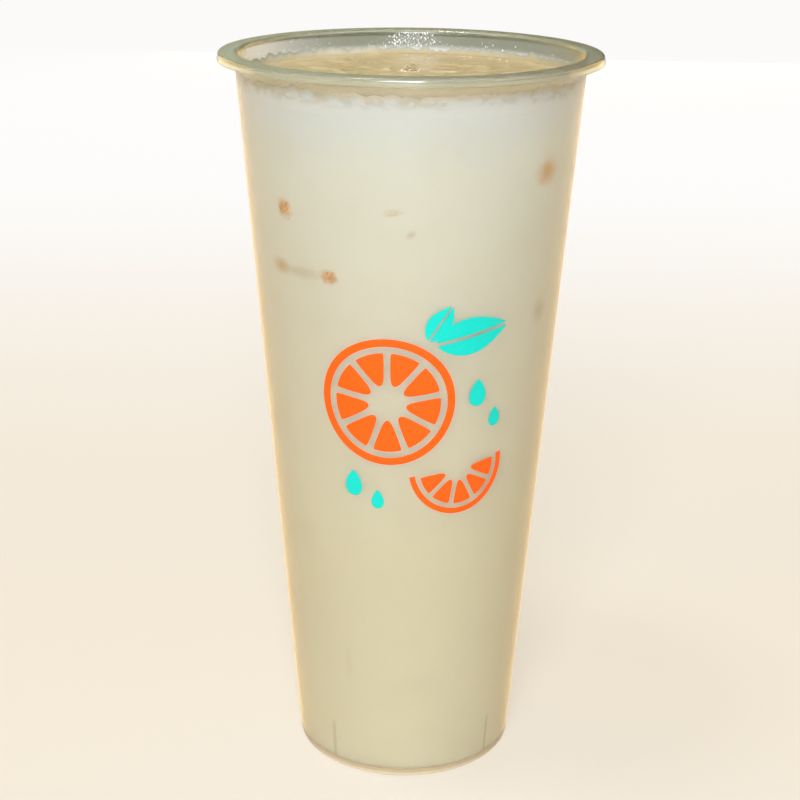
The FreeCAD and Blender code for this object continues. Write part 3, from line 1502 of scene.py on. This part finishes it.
@dataclass
class Froth:
    """The froth: creased open surface, ragged film on the wall, and its bubbles."""

    shape: CupShape
    finish: WetFroth = field(default_factory=WetFroth)
    around: int = 800
    ring_step: float = 0.5 * MM
    into: float = 0.27 * MM
    reach: float = 1.9 * MM
    film_foot: float = 0.3 * MM
    overlap: float = 0.3 * MM
    film_edge: float = 0.1 * MM
    film_rows: int = 6
    film_mean: float = 1.9
    film_sway: float = 0.9
    film_least: float = 0.4
    film_most: float = 3.2
    side_steps: tuple[float, ...] = (-2.2 * MM, -1.2 * MM, -0.4 * MM, 0.2 * MM)
    top_row: float = 0.12 * MM
    base_edge: float = 0.1 * MM
    slack_reach: float = 4.0 * MM
    far_below: float = 2.0 * MM
    climb: float = 0.25 * MM
    climb_rows: int = 5
    ripple: float = 0.55 * MM
    ripple_gain: float = 2.4
    collar_height: float = 0.22 * MM
    collar_width: float = 0.35 * MM
    fine: float = 0.05 * MM
    fine_scale: float = 900.0
    bubble_radius: float = 1.85 * MM
    bubble_y: float = 8.9 * MM
    bubble_skin: float = 0.08 * MM
    bubble_sunk: float = 0.1 * MM
    bubble_sides: int = 48
    bubble_rows: int = 14
    foam_edge: float = 0.3 * MM
    foam_lift: float = 0.02 * MM
    beads_from: float = 0.1 * MM
    beads_to: float = 0.6 * MM
    beads_lift: float = 0.2 * MM
    fleck_low: float = 0.8 * MM
    fleck_high: float = 4.2 * MM

    def film_tops(self) -> list[float]:
        """Give how high the film climbs at each column, a ragged line.

        Returns:
            The heights above the level, in metres; the sizes they are made from are in mm.
        """
        tops = []
        for i in range(self.around):
            angle = TURN * i / self.around
            broad, middling, fine = (
                noise.noise(around(spread, angle, level))
                for spread, level in ((5.0, 3.3), (15.0, 7.1), (36.0, 1.7))
            )
            sway = self.film_sway
            top = self.film_mean + sway * broad + sway * middling - sway * abs(fine)
            tops.append(min(max(top, self.film_least), self.film_most) * MM)
        return tops

    def surface(self) -> bpy.types.Mesh:
        """Build the closed body.

        Returns:
            The mesh, with the attributes slack, where the open surface may ripple, and below,
            how far a point of the film is under the film's top.
        """
        shape = self.shape
        level, base = shape.level, shape.froth_base - self.overlap
        tops = self.film_tops()
        angles = [TURN * i / self.around for i in range(self.around)]
        open_radius = shape.inside(level) - self.reach
        count = math.floor(open_radius / self.ring_step)
        rows: list[list[Vector]] = []
        slack: list[float] = []
        below: list[float] = []

        def add(radius_z: Callable[[float], Spot], loose: float) -> None:
            """Add a ring.

            Args:
                radius_z: Gives its radius and height from the film's top.
                loose: How much it may ripple.
            """
            row = []
            for angle, top in zip(angles, tops):
                radius, z = radius_z(top)
                row.append(turned(radius, angle, z))
                below.append(level + top - z)
            rows.append(row)
            slack.extend([loose] * self.around)

        edge = self.side(base)[0]
        for radius in (edge / 2, edge - self.base_edge):
            add(lambda top, r=radius: (r, base), 0.0)
        for z in (base, base + self.base_edge, *(level + step for step in self.side_steps)):
            add(lambda top, z=z: self.side(z), 0.0)
        for under in (self.top_row, 0.0):
            add(lambda top, u=under: self.side(level + top - u), 0.0)
        for i in range(self.film_rows):
            part = i / (self.film_rows - 1)
            add(lambda top, p=part: self.film(top, p), 0.0)
        for i in range(1, self.climb_rows + 1):
            part = i / self.climb_rows
            add(lambda top, p=part: self.meniscus(p), 0.0)
        for i in range(1, count):
            radius = open_radius * (1 - i / count)
            loose = ease(0.0, self.slack_reach, open_radius - radius)
            add(lambda top, r=radius: (r, level), loose)
        mesh = skin("froth_body", rows, UP * base, UP * level)
        carry(mesh, "slack", [*slack, 0.0, 1.0])
        carry(mesh, "below", [*below, self.far_below, self.far_below])
        return mesh

    def side(self, z: float) -> Spot:
        """Give the radius and height of the face that lies in the wall."""
        return self.shape.inside(z) + self.into, z

    def film(self, top: float, part: float) -> Spot:
        """Give a point on the film's inner face.

        Args:
            top: The film's height above the level.
            part: 0 at its top and 1 at its foot.

        Returns:
            Radius and height.
        """
        z = self.shape.level + top + (self.climb - top) * part
        depth = self.film_edge + (self.film_foot - self.film_edge) * part**2
        return self.shape.inside(z) - depth, z

    def meniscus(self, part: float) -> Spot:
        """Give a point between the film's foot and the open surface.

        Args:
            part: 0 at the film's foot and 1 at the open surface.

        Returns:
            Radius and height.
        """
        level = self.shape.level
        start = self.shape.inside(level) - self.film_foot
        end = self.shape.inside(level) - self.reach
        return start + (end - start) * part, level + self.climb * (1 - part) ** 2

    def ripple_tree(self, material: bpy.types.Material) -> Tree:
        """Make the tree that raises ripples, fine froth and the ring round the bubble.

        Args:
            material: The froth's material.

        Returns:
            The tree.
        """
        tree = Tree(
            "froth_ripples",
            {
                "Ripple": self.ripple,
                "Fine": self.fine,
                **WAVES,
                "Fine Scale": self.fine_scale,
                "Bubble Y": self.bubble_y,
                "Bubble Radius": self.bubble_radius,
                "Seed": WAVE_SEED,
            },
        )
        source = tree.source
        slack = tree.node("GeometryNodeInputNamedAttribute", {"Name": "slack"}).outputs[0]
        place = tree.node("GeometryNodeInputPosition").outputs[0]
        middle = tree.node("ShaderNodeCombineXYZ", {"Y": source["Bubble Y"]}).outputs[0]
        flat = tree.scaled(place, (1.0, 1.0, 0.0))
        waves = tree.node(
            "ShaderNodeTexNoise",
            {
                "Vector": flat,
                "W": source["Seed"],
                "Scale": source["Scale"],
                "Detail": source["Detail"],
                "Distortion": source["Distortion"],
            },
            noise_dimensions="4D",
        ).outputs[0]
        fine = tree.node(
            "ShaderNodeTexNoise",
            {"Vector": place, "Scale": source["Fine Scale"], "Detail": 2.0},
        ).outputs[0]
        swell = tree.maths("MULTIPLY", tree.maths("SUBTRACT", waves, 0.5), source["Ripple"])
        swell = tree.maths("MULTIPLY", swell, self.ripple_gain)
        grain = tree.maths("MULTIPLY", tree.maths("SUBTRACT", fine, 0.5), source["Fine"])
        away = tree.measure("DISTANCE", flat, middle)
        calm = tree.node(
            "ShaderNodeMapRange",
            {
                "Value": tree.maths("DIVIDE", away, source["Bubble Radius"]),
                "From Min": 0.8,
                "From Max": 2.0,
            },
        ).outputs["Result"]
        off = tree.maths("SUBTRACT", away, source["Bubble Radius"])
        ring = tree.maths("MULTIPLY", tree.maths("ABSOLUTE", off), -1 / self.collar_width)
        collar = tree.maths("MULTIPLY", tree.maths("EXPONENT", ring), self.collar_height)
        wavy = tree.maths("MULTIPLY_ADD", swell, calm, tree.maths("ADD", grain, collar))
        rise = tree.maths("MULTIPLY", wavy, slack)
        offset = tree.node("ShaderNodeCombineXYZ", {"Z": rise}).outputs[0]
        moved = tree.node(
            "GeometryNodeSetPosition", {"Geometry": source["Geometry"], "Offset": offset}
        )
        tree.close(moved.outputs[0], material)
        return tree

    def build(self) -> list[bpy.types.Object]:
        """Build the froth and its bubbles, and dress them.

        Returns:
            The froth and then its bubbles and flecks.
        """
        shape = self.shape
        bubble = Vector((0.0, self.bubble_y, shape.level))
        material = self.finish.material(shape, bubble, self.bubble_radius)
        body = self.ripple_tree(material).apply("froth_body", self.surface())
        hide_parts("froth")
        pieces = [body, self.big_bubble(), *self.foam_bubbles(), self.milk_flecks()]
        for piece in pieces:
            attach(piece, "root")
        return pieces

    def big_bubble(self) -> bpy.types.Object:
        """Build the large bubble, a dome with a thin skin.

        Returns:
            The bubble.
        """
        centre = Vector((0.0, self.bubble_y, self.shape.level - self.bubble_sunk))
        turns = [TURN * i / self.bubble_sides for i in range(self.bubble_sides)]
        inner = self.bubble_radius - self.bubble_skin
        lifts = [math.pi / 2 * i / self.bubble_rows for i in range(self.bubble_rows)]
        rows = []
        for radius, line in ((inner, reversed(lifts)), (self.bubble_radius, lifts)):
            for lift in line:
                ring = turned(math.cos(lift), 0.0, math.sin(lift)) * radius
                rows.append([centre + turned(ring.x, turn, ring.z) for turn in turns])
        poles = [centre + UP * inner, centre + UP * self.bubble_radius]
        piece = new_piece("froth_bubble", skin("froth_bubble", rows, *poles))
        piece.data.materials.append(BUBBLE_FILM.material())
        return piece

    def foam_bubbles(self) -> list[bpy.types.Object]:
        """Strew small bubbles over the froth, and smaller ones round the large bubble.

        Returns:
            The bubbles on the froth, most of them near the wall, and those on the collar.
        """
        angles = ring_angles(90)
        level = self.shape.level
        edge = self.shape.inside(level) - self.foam_edge

        def spots(angle: float, part: float) -> Vector:
            """Give a point of the froth's surface, from near the wall inwards."""
            return around(edge * (1 - 0.95 * part), angle, level + self.foam_lift)

        def share(angle: float, part: float) -> float:
            """Give many bubbles at the wall, in patches, and few inside."""
            patch = 0.5 + 0.5 * noise.noise(around(4.0, angle, part * 9.0))
            return ease(0.25, 0.0, part) * 0.9 * patch + 0.04 * patch

        bed = strip("foam_bed", angles, spots, 24, share)
        foam = FOAM.material()

        def ring(angle: float, part: float) -> Vector:
            """Give a point of the collar round the large bubble.

            Args:
                angle: The angle round the bubble.
                part: How far across the collar, from 0 at its inner edge.

            Returns:
                The point.
            """
            off = self.beads_from + (self.beads_to - self.beads_from) * part
            spot = around(self.bubble_radius + off, -angle, level)
            return spot + Vector((0.0, self.bubble_y, self.beads_lift))

        collar = strip("collar_bed", angles, ring, 3, lambda angle, part: 1.0)
        return [SMALL_BUBBLES.build(bed, foam), COLLAR_BUBBLES.build(collar, foam)]

    def milk_flecks(self) -> bpy.types.Object:
        """Strew flecks of froth on the wall just above the film.

        Returns:
            The flecks.
        """

        def share(angle: float, part: float) -> float:
            """Give fewer flecks further up and towards the front, in patches.

            Args:
                angle: The angle from -Y, towards -X.
                part: How far up the bed.

            Returns:
                The density there.
            """
            patch = 0.5 + noise.noise(around(9.0, angle, part * 3.0))
            back = ease(2.0, 1.2, abs(angle - math.pi))
            return (1 - part) ** 1.5 * ease(0.2, 0.8, patch) * back

        bed = wall_bed("fleck_bed", self.shape, self.fleck_low, self.fleck_high, share)
        return FLECKS.build(bed, MILK.material())


# ---------------------------------------------------------------- drops on the wall


# The drops are mostly matt near-white: painted glints, standing for the lamp's sparkle on them.
GLINT_DROP_WATER = ThinWater(name="wall_drop", colour=tone(250, 252, 253), clearness=0.25)
DROPS = Strewn(
    name="wall_drops",
    spacing=0.3 * MM,
    density=3.0e6,
    smallest=0.06 * MM,
    largest=0.22 * MM,
    flatness=0.45,
    length=1.9,
    lean=1.2,
    seed=21,
)


@dataclass
class WallDrops:
    """Drops of water on the inside of the wall, most of them at the back."""

    shape: CupShape
    low: float = 1.8 * MM
    high: float = 5.3 * MM

    def build(self) -> list[bpy.types.Object]:
        """Strew the drops.

        Returns:
            The drops, as the only piece.
        """

        def share(angle: float, part: float) -> float:
            """Give most drops at the back, and few elsewhere.

            Args:
                angle: The angle from -Y, towards -X.
                part: How far up the bed.

            Returns:
                The density there.
            """
            off_back = abs(angle - math.pi)
            patch = 0.5 + 0.5 * noise.noise(around(5.0, angle, part * 4.0))
            return 0.05 * patch + 0.95 * ease(0.21, 0.05, off_back)

        bed = wall_bed("drop_bed", self.shape, self.low, self.high, share)
        piece = DROPS.build(bed, GLINT_DROP_WATER.material())
        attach(piece, "root")
        return [piece]


# ---------------------------------------------------------------- bits of fruit


@dataclass(frozen=True)
class Bit:
    """A bit of fruit at the wall.

    The angle from -Y and the tilt are in degrees, and lengths are in millimetres. It is 1 bare
    where it touches the wall, and less where milky drink lies over it.
    """

    name: str
    turn: float
    z: float
    wide: float
    high: float
    tilt: float = 0.0
    bare: float = 1.0


@dataclass
class Pulp:
    """Bits of fruit that float at the wall."""

    shape: CupShape
    into: float = 0.25 * MM
    proud: float = 0.05 * MM
    thick: float = 0.22 * MM
    sides: int = 40
    steps: int = 12
    bits: tuple[Bit, ...] = (
        Bit("left_high", -47.2, 145.4, 5.2, 4.8, 30),
        Bit("middle_thin", -5.7, 147.1, 4.0, 1.3, 8, 0.45),
        Bit("left_low", -28.8, 131.3, 4.8, 3.4, -14, 1.1),
    )

    def bit_mesh(self, bit: Bit) -> tuple[MeshParts, list[float]]:
        """Build a lumpy lens that lies against the wall.

        Args:
            bit: The bit's place and size.

        Returns:
            Its points and faces, and how far each point stands out of the drink.
        """
        z = bit.z * MM
        turn = math.radians(bit.turn)
        middle = around(self.shape.inside(z) + self.into - self.proud, turn, z)
        out = around(1.0, turn, 0.0)
        side = UP.cross(out)
        spin = Matrix.Rotation(math.radians(bit.tilt), 3, out)
        own = Vector((bit.z, bit.turn, 0.0))
        points = []
        stands = []
        for i in range(1, self.steps):
            lift = math.pi * i / self.steps - math.pi / 2
            flat = math.cos(lift)
            stands += [bit.bare * math.sin(lift)] * self.sides
            for j in range(self.sides):
                way_round = TURN * j / self.sides
                way = side * math.cos(way_round) * flat + UP * math.sin(way_round) * flat
                lump = 1 + 0.4 * noise.noise(way * 1.4 + own) + 0.3 * noise.noise(way * 4 + own)
                across = side * (way.dot(side) * bit.wide) + UP * (way.dot(UP) * bit.high)
                across = spin @ (across * (lump * MM / 2))
                points.append(middle + across + out * math.sin(lift) * self.thick)
        points.append(middle - out * self.thick)
        points.append(middle + out * self.thick)
        stands += [-bit.bare, bit.bare]
        return (points, ring_faces(self.steps - 1, self.sides)), stands

    def build(self) -> bpy.types.Object:
        """Build all the bits as one piece, and dress it.

        Returns:
            The bits.
        """
        made = [self.bit_mesh(bit) for bit in self.bits]
        mesh = new_mesh("fruit_bits", *joined(parts for parts, _ in made))
        carry(mesh, "stands", [stand for _, stands in made for stand in stands])
        piece = new_piece("fruit_bits", mesh)
        piece.data.materials.append(FruitPulp().material())
        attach(piece, "root")
        return piece


# ---------------------------------------------------------------- the print


def smooth_outline(points: Outline, times: int = 3, keep: float = 0.22) -> Outline:
    """Cut the corners of a closed outline, so that it becomes a smooth curve.

    Args:
        points: The outline's corners.
        times: How often to cut.
        keep: How far from each corner to cut, as a part of each side.

    Returns:
        The smoother outline.
    """
    for _ in range(times):
        finer: Outline = []
        for here, there in zip(points, [*points[1:], points[0]]):
            for part in (keep, 1 - keep):
                x = here[0] + (there[0] - here[0]) * part
                y = here[1] + (there[1] - here[1]) * part
                finer.append((x, y))
        points = finer
    return points


def polar(centre: Spot, radius: float, angle: float) -> Spot:
    """Give the point at a radius and angle from a centre."""
    return centre[0] + radius * math.cos(angle), centre[1] + radius * math.sin(angle)


@dataclass(frozen=True)
class Inked:
    """One shape of the print, in mm from the design's middle.

    Its inner line is the outline of its hole, or the other side of an open band. A shape
    without one is full, and star-shaped about its middle.
    """

    outline: Outline
    inner: Outline | None = None
    open_band: bool = False


@dataclass
class Print:
    """The print on the wall: citrus slices, leaves and drops, inked in two colours.

    A slice's rind, gaps and tips are parts of its radius, and a leaf's vein of its width.
    """

    shape: CupShape
    turn: float = math.radians(3.0)
    z: float = 98.0 * MM
    lift: float = 0.03 * MM
    depth: float = 0.06 * MM
    longest: float = 1.6
    rind: float = 0.115
    rind_gap: float = 0.1
    segment_tip: float = 0.03
    segment_gap: float = 0.085
    ring_steps: int = 120
    band_steps: int = 60
    leaf_steps: int = 12
    vein: float = 0.05
    drop_steps: int = 48
    sharp: float = math.radians(40.0)

    def on_wall(self, x: float, y: float, lift: float) -> Vector:
        """Give the place on the wall of a point of the flat design.

        Args:
            x: Distance to the right of the design's middle, in mm.
            y: Distance above it, in mm.
            lift: Height above the wall's face.

        Returns:
            The point.
        """
        z = self.z + y * MM
        radius = self.shape.outside(z) + lift
        return around(radius, self.turn + x * MM / self.shape.outside(self.z), z)

    def patch(self, outline: Outline, hole: Outline | None) -> MeshParts:
        """Build a thin closed shape on the wall.

        Args:
            outline: Its outer outline, counter-clockwise, star-shaped about its middle.
            hole: Its inner outline with as many points, or None for a full shape.

        Returns:
            Its points and faces.
        """
        count = len(outline)
        middle_x = sum(x for x, _ in outline) / count
        middle_y = sum(y for _, y in outline) / count
        inner = hole or [(middle_x, middle_y)] * count
        reach = max(math.dist(a, b) for a, b in zip(outline, inner))
        steps = max(2, math.ceil(reach / self.longest))
        first = 0 if hole else 1
        points: list[Vector] = []
        faces: Faces = []
        for lift in (self.lift, self.lift - self.depth):
            for i in range(first, steps + 1):
                part = i / steps
                for (x0, y0), (x1, y1) in zip(inner, outline):
                    x, y = x0 + (x1 - x0) * part, y0 + (y1 - y0) * part
                    points.append(self.on_wall(x, y, lift))
        rings = steps + 1 - first
        back = rings * count
        for j in range(count):
            k = (j + 1) % count
            for i in range(rings - 1):
                here, there = i * count, (i + 1) * count
                front = (here + j, there + j, there + k, here + k)
                faces.append(front)
                faces.append(tuple(back + index for index in (front[0], *front[:0:-1])))
            edge = (rings - 1) * count
            faces.append((edge + j, back + edge + j, back + edge + k, edge + k))
            if hole:
                faces.append((j, k, back + k, back + j))
        if not hole:
            points.append(self.on_wall(middle_x, middle_y, self.lift))
            points.append(self.on_wall(middle_x, middle_y, self.lift - self.depth))
            centre = len(points) - 2
            for j in range(count):
                k = (j + 1) % count
                faces.append((centre, j, k))
                faces.append((centre + 1, back + k, back + j))
        return points, faces

    def wedge(
        self, centre: Spot, middle: float, span: float, near: float, far: float, gap: float
    ) -> Outline:
        """Give one rounded segment of a citrus slice.

        Args:
            centre: The slice's centre.
            middle: The segment's direction.
            span: The angle between segments.
            near: Distance from the centre to its tip.
            far: Distance from the centre to its round side.
            gap: Width of the gap between segments.

        Returns:
            Its outline.
        """
        half = span / 2 - gap / (2 * far)
        tip = near + gap / (2 * math.sin(span / 2))
        arc = [middle - half + 2 * half * i / 8 for i in range(9)]
        corners = [polar(centre, tip, middle), *(polar(centre, far, angle) for angle in arc)]
        return smooth_outline(corners)

    def citrus_slice(
        self, centre: Spot, radius: float, count: int, start: float, sweep: float
    ) -> list[Inked]:
        """Give a citrus slice: rind and segments.

        Args:
            centre: Its centre.
            radius: Its radius.
            count: The number of segments.
            start: The direction where it begins.
            sweep: How far round it goes.

        Returns:
            Its shapes.
        """
        whole = sweep >= TURN
        if whole:
            ring = [start + TURN * i / self.ring_steps for i in range(self.ring_steps)]
        else:
            ring = [start + sweep * i / self.band_steps for i in range(self.band_steps + 1)]
        inner = radius - self.rind * radius
        outer_line = [polar(centre, radius, angle) for angle in ring]
        inner_line = [polar(centre, inner, angle) for angle in ring]
        shapes = [Inked(outer_line, inner_line, open_band=not whole)]
        span = sweep / count
        near, gap = self.segment_tip * radius, self.segment_gap * radius
        far = inner - self.rind_gap * radius
        for i in range(count):
            middle = start + span * (i + 0.5)
            shapes.append(Inked(self.wedge(centre, middle, span, near, far, gap)))
        return shapes

    def band(self, outer: Outline, inner: Outline) -> MeshParts:
        """Build a thin closed strip between two open lines of equally many points.

        Args:
            outer: The outer line, counter-clockwise.
            inner: The inner one, from the same end.

        Returns:
            Its points and faces.
        """
        points: list[Vector] = []
        faces: Faces = []
        for lift in (self.lift, self.lift - self.depth):
            for (x0, y0), (x1, y1) in zip(inner, outer):
                points.append(self.on_wall(x0, y0, lift))
                points.append(self.on_wall(x1, y1, lift))
        back = 2 * len(outer)
        for i in range(len(outer) - 1):
            a, b = 2 * i, 2 * i + 1
            c, d = a + 2, b + 2
            faces.append((a, b, d, c))
            faces.append((back + a, back + c, back + d, back + b))
            faces.append((b, back + b, back + d, d))
            faces.append((a, c, back + c, back + a))
        end = 2 * (len(outer) - 1)
        faces.append((0, back, back + 1, 1))
        faces.append((end, end + 1, back + end + 1, back + end))
        return points, faces

    def leaf(self, base: Spot, way: float, length: float, width: float) -> list[Inked]:
        """Give a leaf as two halves with a bare vein between them.

        Args:
            base: Where its stalk begins.
            way: The direction of its tip.
            length: Its length.
            width: Its width.

        Returns:
            The halves.
        """
        vein = self.vein * width
        steps = self.leaf_steps
        cos, sin = math.cos(way), math.sin(way)
        halves = []
        for side in (1, -1):
            line = []
            for i in range(steps + 1):
                part = i / steps
                bulge = math.sin(math.pi * part**0.85) ** 0.9 * width / 2
                line.append((length * part, side * (vein + bulge)))
            for i in range(steps, 0, -1):
                part = i / steps
                line.append((length * part * 0.98, side * vein))
            laid = [(base[0] + x * cos - y * sin, base[1] + x * sin + y * cos) for x, y in line]
            if side > 0:
                laid.reverse()
            halves.append(Inked(smooth_outline(laid, 2)))
        return halves

    def drop(self, centre: Spot, size: float) -> Inked:
        """Give a drop with its point up.

        Args:
            centre: Its centre.
            size: Its length, about.

        Returns:
            The drop.
        """
        line = []
        for i in range(self.drop_steps):
            turn = TURN * i / self.drop_steps
            pinch = (1 - math.sin(turn)) / 2
            x = size * 0.5 * math.cos(turn) * (0.35 + 0.65 * pinch**0.6)
            y = size * (0.62 * math.sin(turn) + 0.1)
            line.append((centre[0] + x, centre[1] + y))
        return Inked(line)

    def ink(self, name: str, colour: Ink, shapes: Sequence[Inked]) -> bpy.types.Object:
        """Join shapes of one ink into a piece.

        Args:
            name: The piece's name.
            colour: Its ink.
            shapes: The shapes.

        Returns:
            The piece.
        """
        parts = []
        for shape in shapes:
            build = self.band if shape.open_band else self.patch
            parts.append(build(shape.outline, shape.inner))
        mesh = new_mesh(name, *joined(parts))
        piece = new_piece(name, mesh)
        mesh.set_sharp_from_angle(angle=self.sharp)
        piece.data.materials.append(colour.material())
        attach(piece, "root")
        return piece

    def build(self) -> list[bpy.types.Object]:
        """Build the print.

        Returns:
            One piece for each ink.
        """
        wheel = self.citrus_slice((-6.5, 4.5), 15.5, 9, math.radians(10), TURN)
        half = self.citrus_slice((10.5, -12.0), 12.0, 5, math.radians(190), math.pi)
        leaves = [
            *self.leaf((4.2, 18.6), math.radians(12), 17.0, 8.0),
            *self.leaf((2.4, 19.6), math.radians(58), 9.5, 5.0),
        ]
        drops = [
            self.drop((14.5, 5.5), 5.2),
            self.drop((19.5, -1.0), 3.8),
            self.drop((-15.0, -17.0), 5.2),
            self.drop((-9.0, -20.5), 3.8),
        ]
        return [
            self.ink("print_slices", Ink.ORANGE, wheel + half),
            self.ink("print_leaves", Ink.TURQUOISE, leaves + drops),
        ]


# ---------------------------------------------------------------- the studio


def seen_directly(recipe: Recipe) -> Any:
    """Give 1 for rays from the camera, in a reflection or through a clear wall, and 0 else.

    Args:
        recipe: The tree.

    Returns:
        The value's socket, which is 0 for all light that falls on the object.
    """
    path = recipe.node("ShaderNodeLightPath").outputs
    mirrored = recipe.maths("MAXIMUM", path["Is Glossy Ray"], path["Is Transmission Ray"])
    seen = recipe.maths("MAXIMUM", path["Is Camera Ray"], mirrored)
    unlit = recipe.maths("LESS_THAN", path["Diffuse Depth"], 0.5)
    return recipe.maths("MULTIPLY", seen, unlit)


@dataclass(frozen=True)
class Lamp:
    """A square lamp that points at the cup's middle, or as far over it as over says.

    Its size is its side, and its power is in watts. A lamp that is mirrored shows in gloss and
    through clear walls, as a bare one does. None shows to the camera.
    """

    name: str
    place: Spot3
    size: float
    power: float
    colour: Spot3
    over: float = 0.0
    mirrored: bool = True

    def hang(self, middle: Vector) -> None:
        """Hang the lamp.

        Args:
            middle: The cup's middle.
        """
        light = bpy.data.lights.new(self.name, "AREA")
        light.size = self.size
        light.energy = self.power
        light.color = self.colour
        lamp = bpy.data.objects.new(self.name, light)
        lamp.location = self.place
        lamp.visible_camera = False
        lamp.visible_glossy = self.mirrored
        lamp.visible_transmission = self.mirrored
        aim = middle + UP * self.over - Vector(self.place)
        lamp.rotation_euler = aim.to_track_quat("-Z", "Y").to_euler()
        link(lamp)


WHITE: Spot3 = (1.0, 1.0, 1.0)
DAYLIGHT: Spot3 = (1.0, 1.0, 1.09)
COOL: Spot3 = (0.86, 0.94, 1.08)
SOFT: Spot3 = (1.0, 0.94, 0.8)
WARM: Spot3 = (1.0, 0.67, 0.16)
LAMPS = (
    Lamp("front", (-0.12, -1.3, 0.75), 0.6, 24.2, DAYLIGHT),
    Lamp("spark", (0.01, -0.42, 0.262), 0.03, 0.42, COOL, over=0.08),
    Lamp("left", (-0.9, 0.7, 0.15), 1.1, 6.8, WARM),
    Lamp("right", (0.9, 0.7, 0.15), 1.1, 6.8, WARM),
    Lamp("behind", (0.1, 1.3, 0.14), 0.7, 10.0, SOFT, mirrored=False),
    Lamp("above", (-0.25, -0.1, 1.1), 0.2, 2.5, WHITE, over=0.08),
)


@dataclass
class Studio:
    """Pale floor, soft light, and the camera a little above the rim."""

    height: float
    lamps: tuple[Lamp, ...] = LAMPS
    aim: float = 0.55
    room_light: Colour = tone(255, 216, 142)
    room_strength: float = 0.22
    floor_side: float = 30.0
    floor_colour: Colour = tone(222, 216, 204)
    near_glow: Colour = tone(250, 243, 228)
    far_glow: Colour = tone(254, 253, 252)
    bright_side: Colour = tone(174, 192, 158)
    dim_side: Colour = tone(78, 72, 52)
    near_share: float = 0.55
    far_share: float = 0.97
    glow_from: float = -0.05
    glow_to: float = 0.7
    side_edge: float = 0.25
    lens: float = 74.84
    sensor: float = 36.0
    nearest: float = 10.0 * MM
    distance: float = 390.4 * MM
    aside: float = -1.8 * MM
    above_rim: float = 50.9 * MM
    tilt: float = math.radians(19.31)
    roll: float = math.radians(0.56)

    def floor(self) -> None:
        """Lay the floor."""
        side = self.floor_side
        mesh = bpy.data.meshes.new("floor")
        corners = [(-side, -side, 0.0), (side, -side, 0.0), (side, side, 0.0), (-side, side, 0.0)]
        mesh.from_pydata(corners, [], [(0, 1, 2, 3)])
        floor = bpy.data.objects.new("floor", mesh)
        link(floor)
        mesh.materials.append(self.floor_finish())

    def floor_finish(self) -> bpy.types.Material:
        """Make the floor's material: matt where light falls on it, pale where it is seen.

        Returns:
            The material.
        """
        recipe = Recipe("pale_floor")
        place = recipe.place()
        grain = recipe.grain(place, 900.0, 2.0)
        matt = recipe.node(
            "ShaderNodeBsdfPrincipled",
            {
                "Base Color": self.floor_colour,
                "Roughness": 0.85,
                "Specular IOR Level": 0.2,
                "Normal": recipe.bump(grain, 0.05 * MM, 0.2),
            },
        )
        away = recipe.spread(recipe.split(place).outputs["Y"], self.glow_from, self.glow_to)
        pale = recipe.node(
            "ShaderNodeEmission", {"Color": recipe.blend(away, self.near_glow, self.far_glow)}
        )
        growth = self.far_share - self.near_share
        share = recipe.maths("MULTIPLY_ADD", away, growth, self.near_share)
        seen = recipe.maths("MULTIPLY", share, seen_directly(recipe))
        shaders = {0: seen, 1: matt.outputs[0], 2: pale.outputs[0]}
        mixed = recipe.node("ShaderNodeMixShader", shaders)
        recipe.node("ShaderNodeOutputMaterial", {"Surface": mixed.outputs[0]})
        return recipe.material

    def lights(self) -> None:
        """Hang the lamps."""
        for lamp in self.lamps:
            lamp.hang(UP * self.height * self.aim)

    def world(self) -> None:
        """Light the room evenly; its back is brighter on the left, where the rim mirrors it."""
        world = bpy.data.worlds.new("room")
        world.use_nodes = True
        room = Recipe("room", world.node_tree)
        toward = room.split(room.node("ShaderNodeTexCoord").outputs["Generated"])
        side = room.spread(toward.outputs["X"], -self.side_edge, self.side_edge)
        mirrored = room.blend(side, self.bright_side, self.dim_side)
        light = room.node(
            "ShaderNodeBackground", {"Color": self.room_light, "Strength": self.room_strength}
        )
        shown = room.node("ShaderNodeBackground", {"Color": mirrored, "Strength": 1.0})
        shaders = {0: seen_directly(room), 1: light.outputs[0], 2: shown.outputs[0]}
        mixed = room.node("ShaderNodeMixShader", shaders)
        room.node("ShaderNodeOutputWorld", {"Surface": mixed.outputs[0]})
        bpy.context.scene.world = world

    def camera(self) -> None:
        """Set up the camera."""
        data = bpy.data.cameras.new("camera")
        data.lens = self.lens
        data.sensor_width = self.sensor
        data.clip_start = self.nearest
        camera = bpy.data.objects.new("camera", data)
        place = Vector((self.aside, -self.distance, self.height + self.above_rim))
        turn = Matrix.Rotation(math.pi / 2 - self.tilt, 4, "X") @ Matrix.Rotation(self.roll, 4, "Z")
        camera.matrix_world = Matrix.Translation(place) @ turn
        link(camera)
        bpy.context.scene.camera = camera

    def build(self) -> None:
        """Set the whole studio up."""
        self.floor()
        self.lights()
        self.world()
        self.camera()
        bpy.context.scene.view_settings.view_transform = "Standard"


# ---------------------------------------------------------------- all together


def main() -> None:
    """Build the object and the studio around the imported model."""
    logging.basicConfig(level=logging.INFO, format="%(name)s: %(message)s")
    clear_scene()
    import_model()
    low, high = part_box("cup")
    rim_radius = min(-low.x, -low.y, high.x, high.y)
    shape = CupShape(high.z, rim_radius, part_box("froth")[0].z)

    for kind in (Cup, Drink, Froth, WallDrops, Pulp, Print):
        made = kind(shape).build()
        for piece in made if isinstance(made, list) else [made]:
            log.info("%s: %d faces", piece.name, len(piece.data.polygons))
    Studio(shape.height).build()


if __name__ == "__main__":
    main()
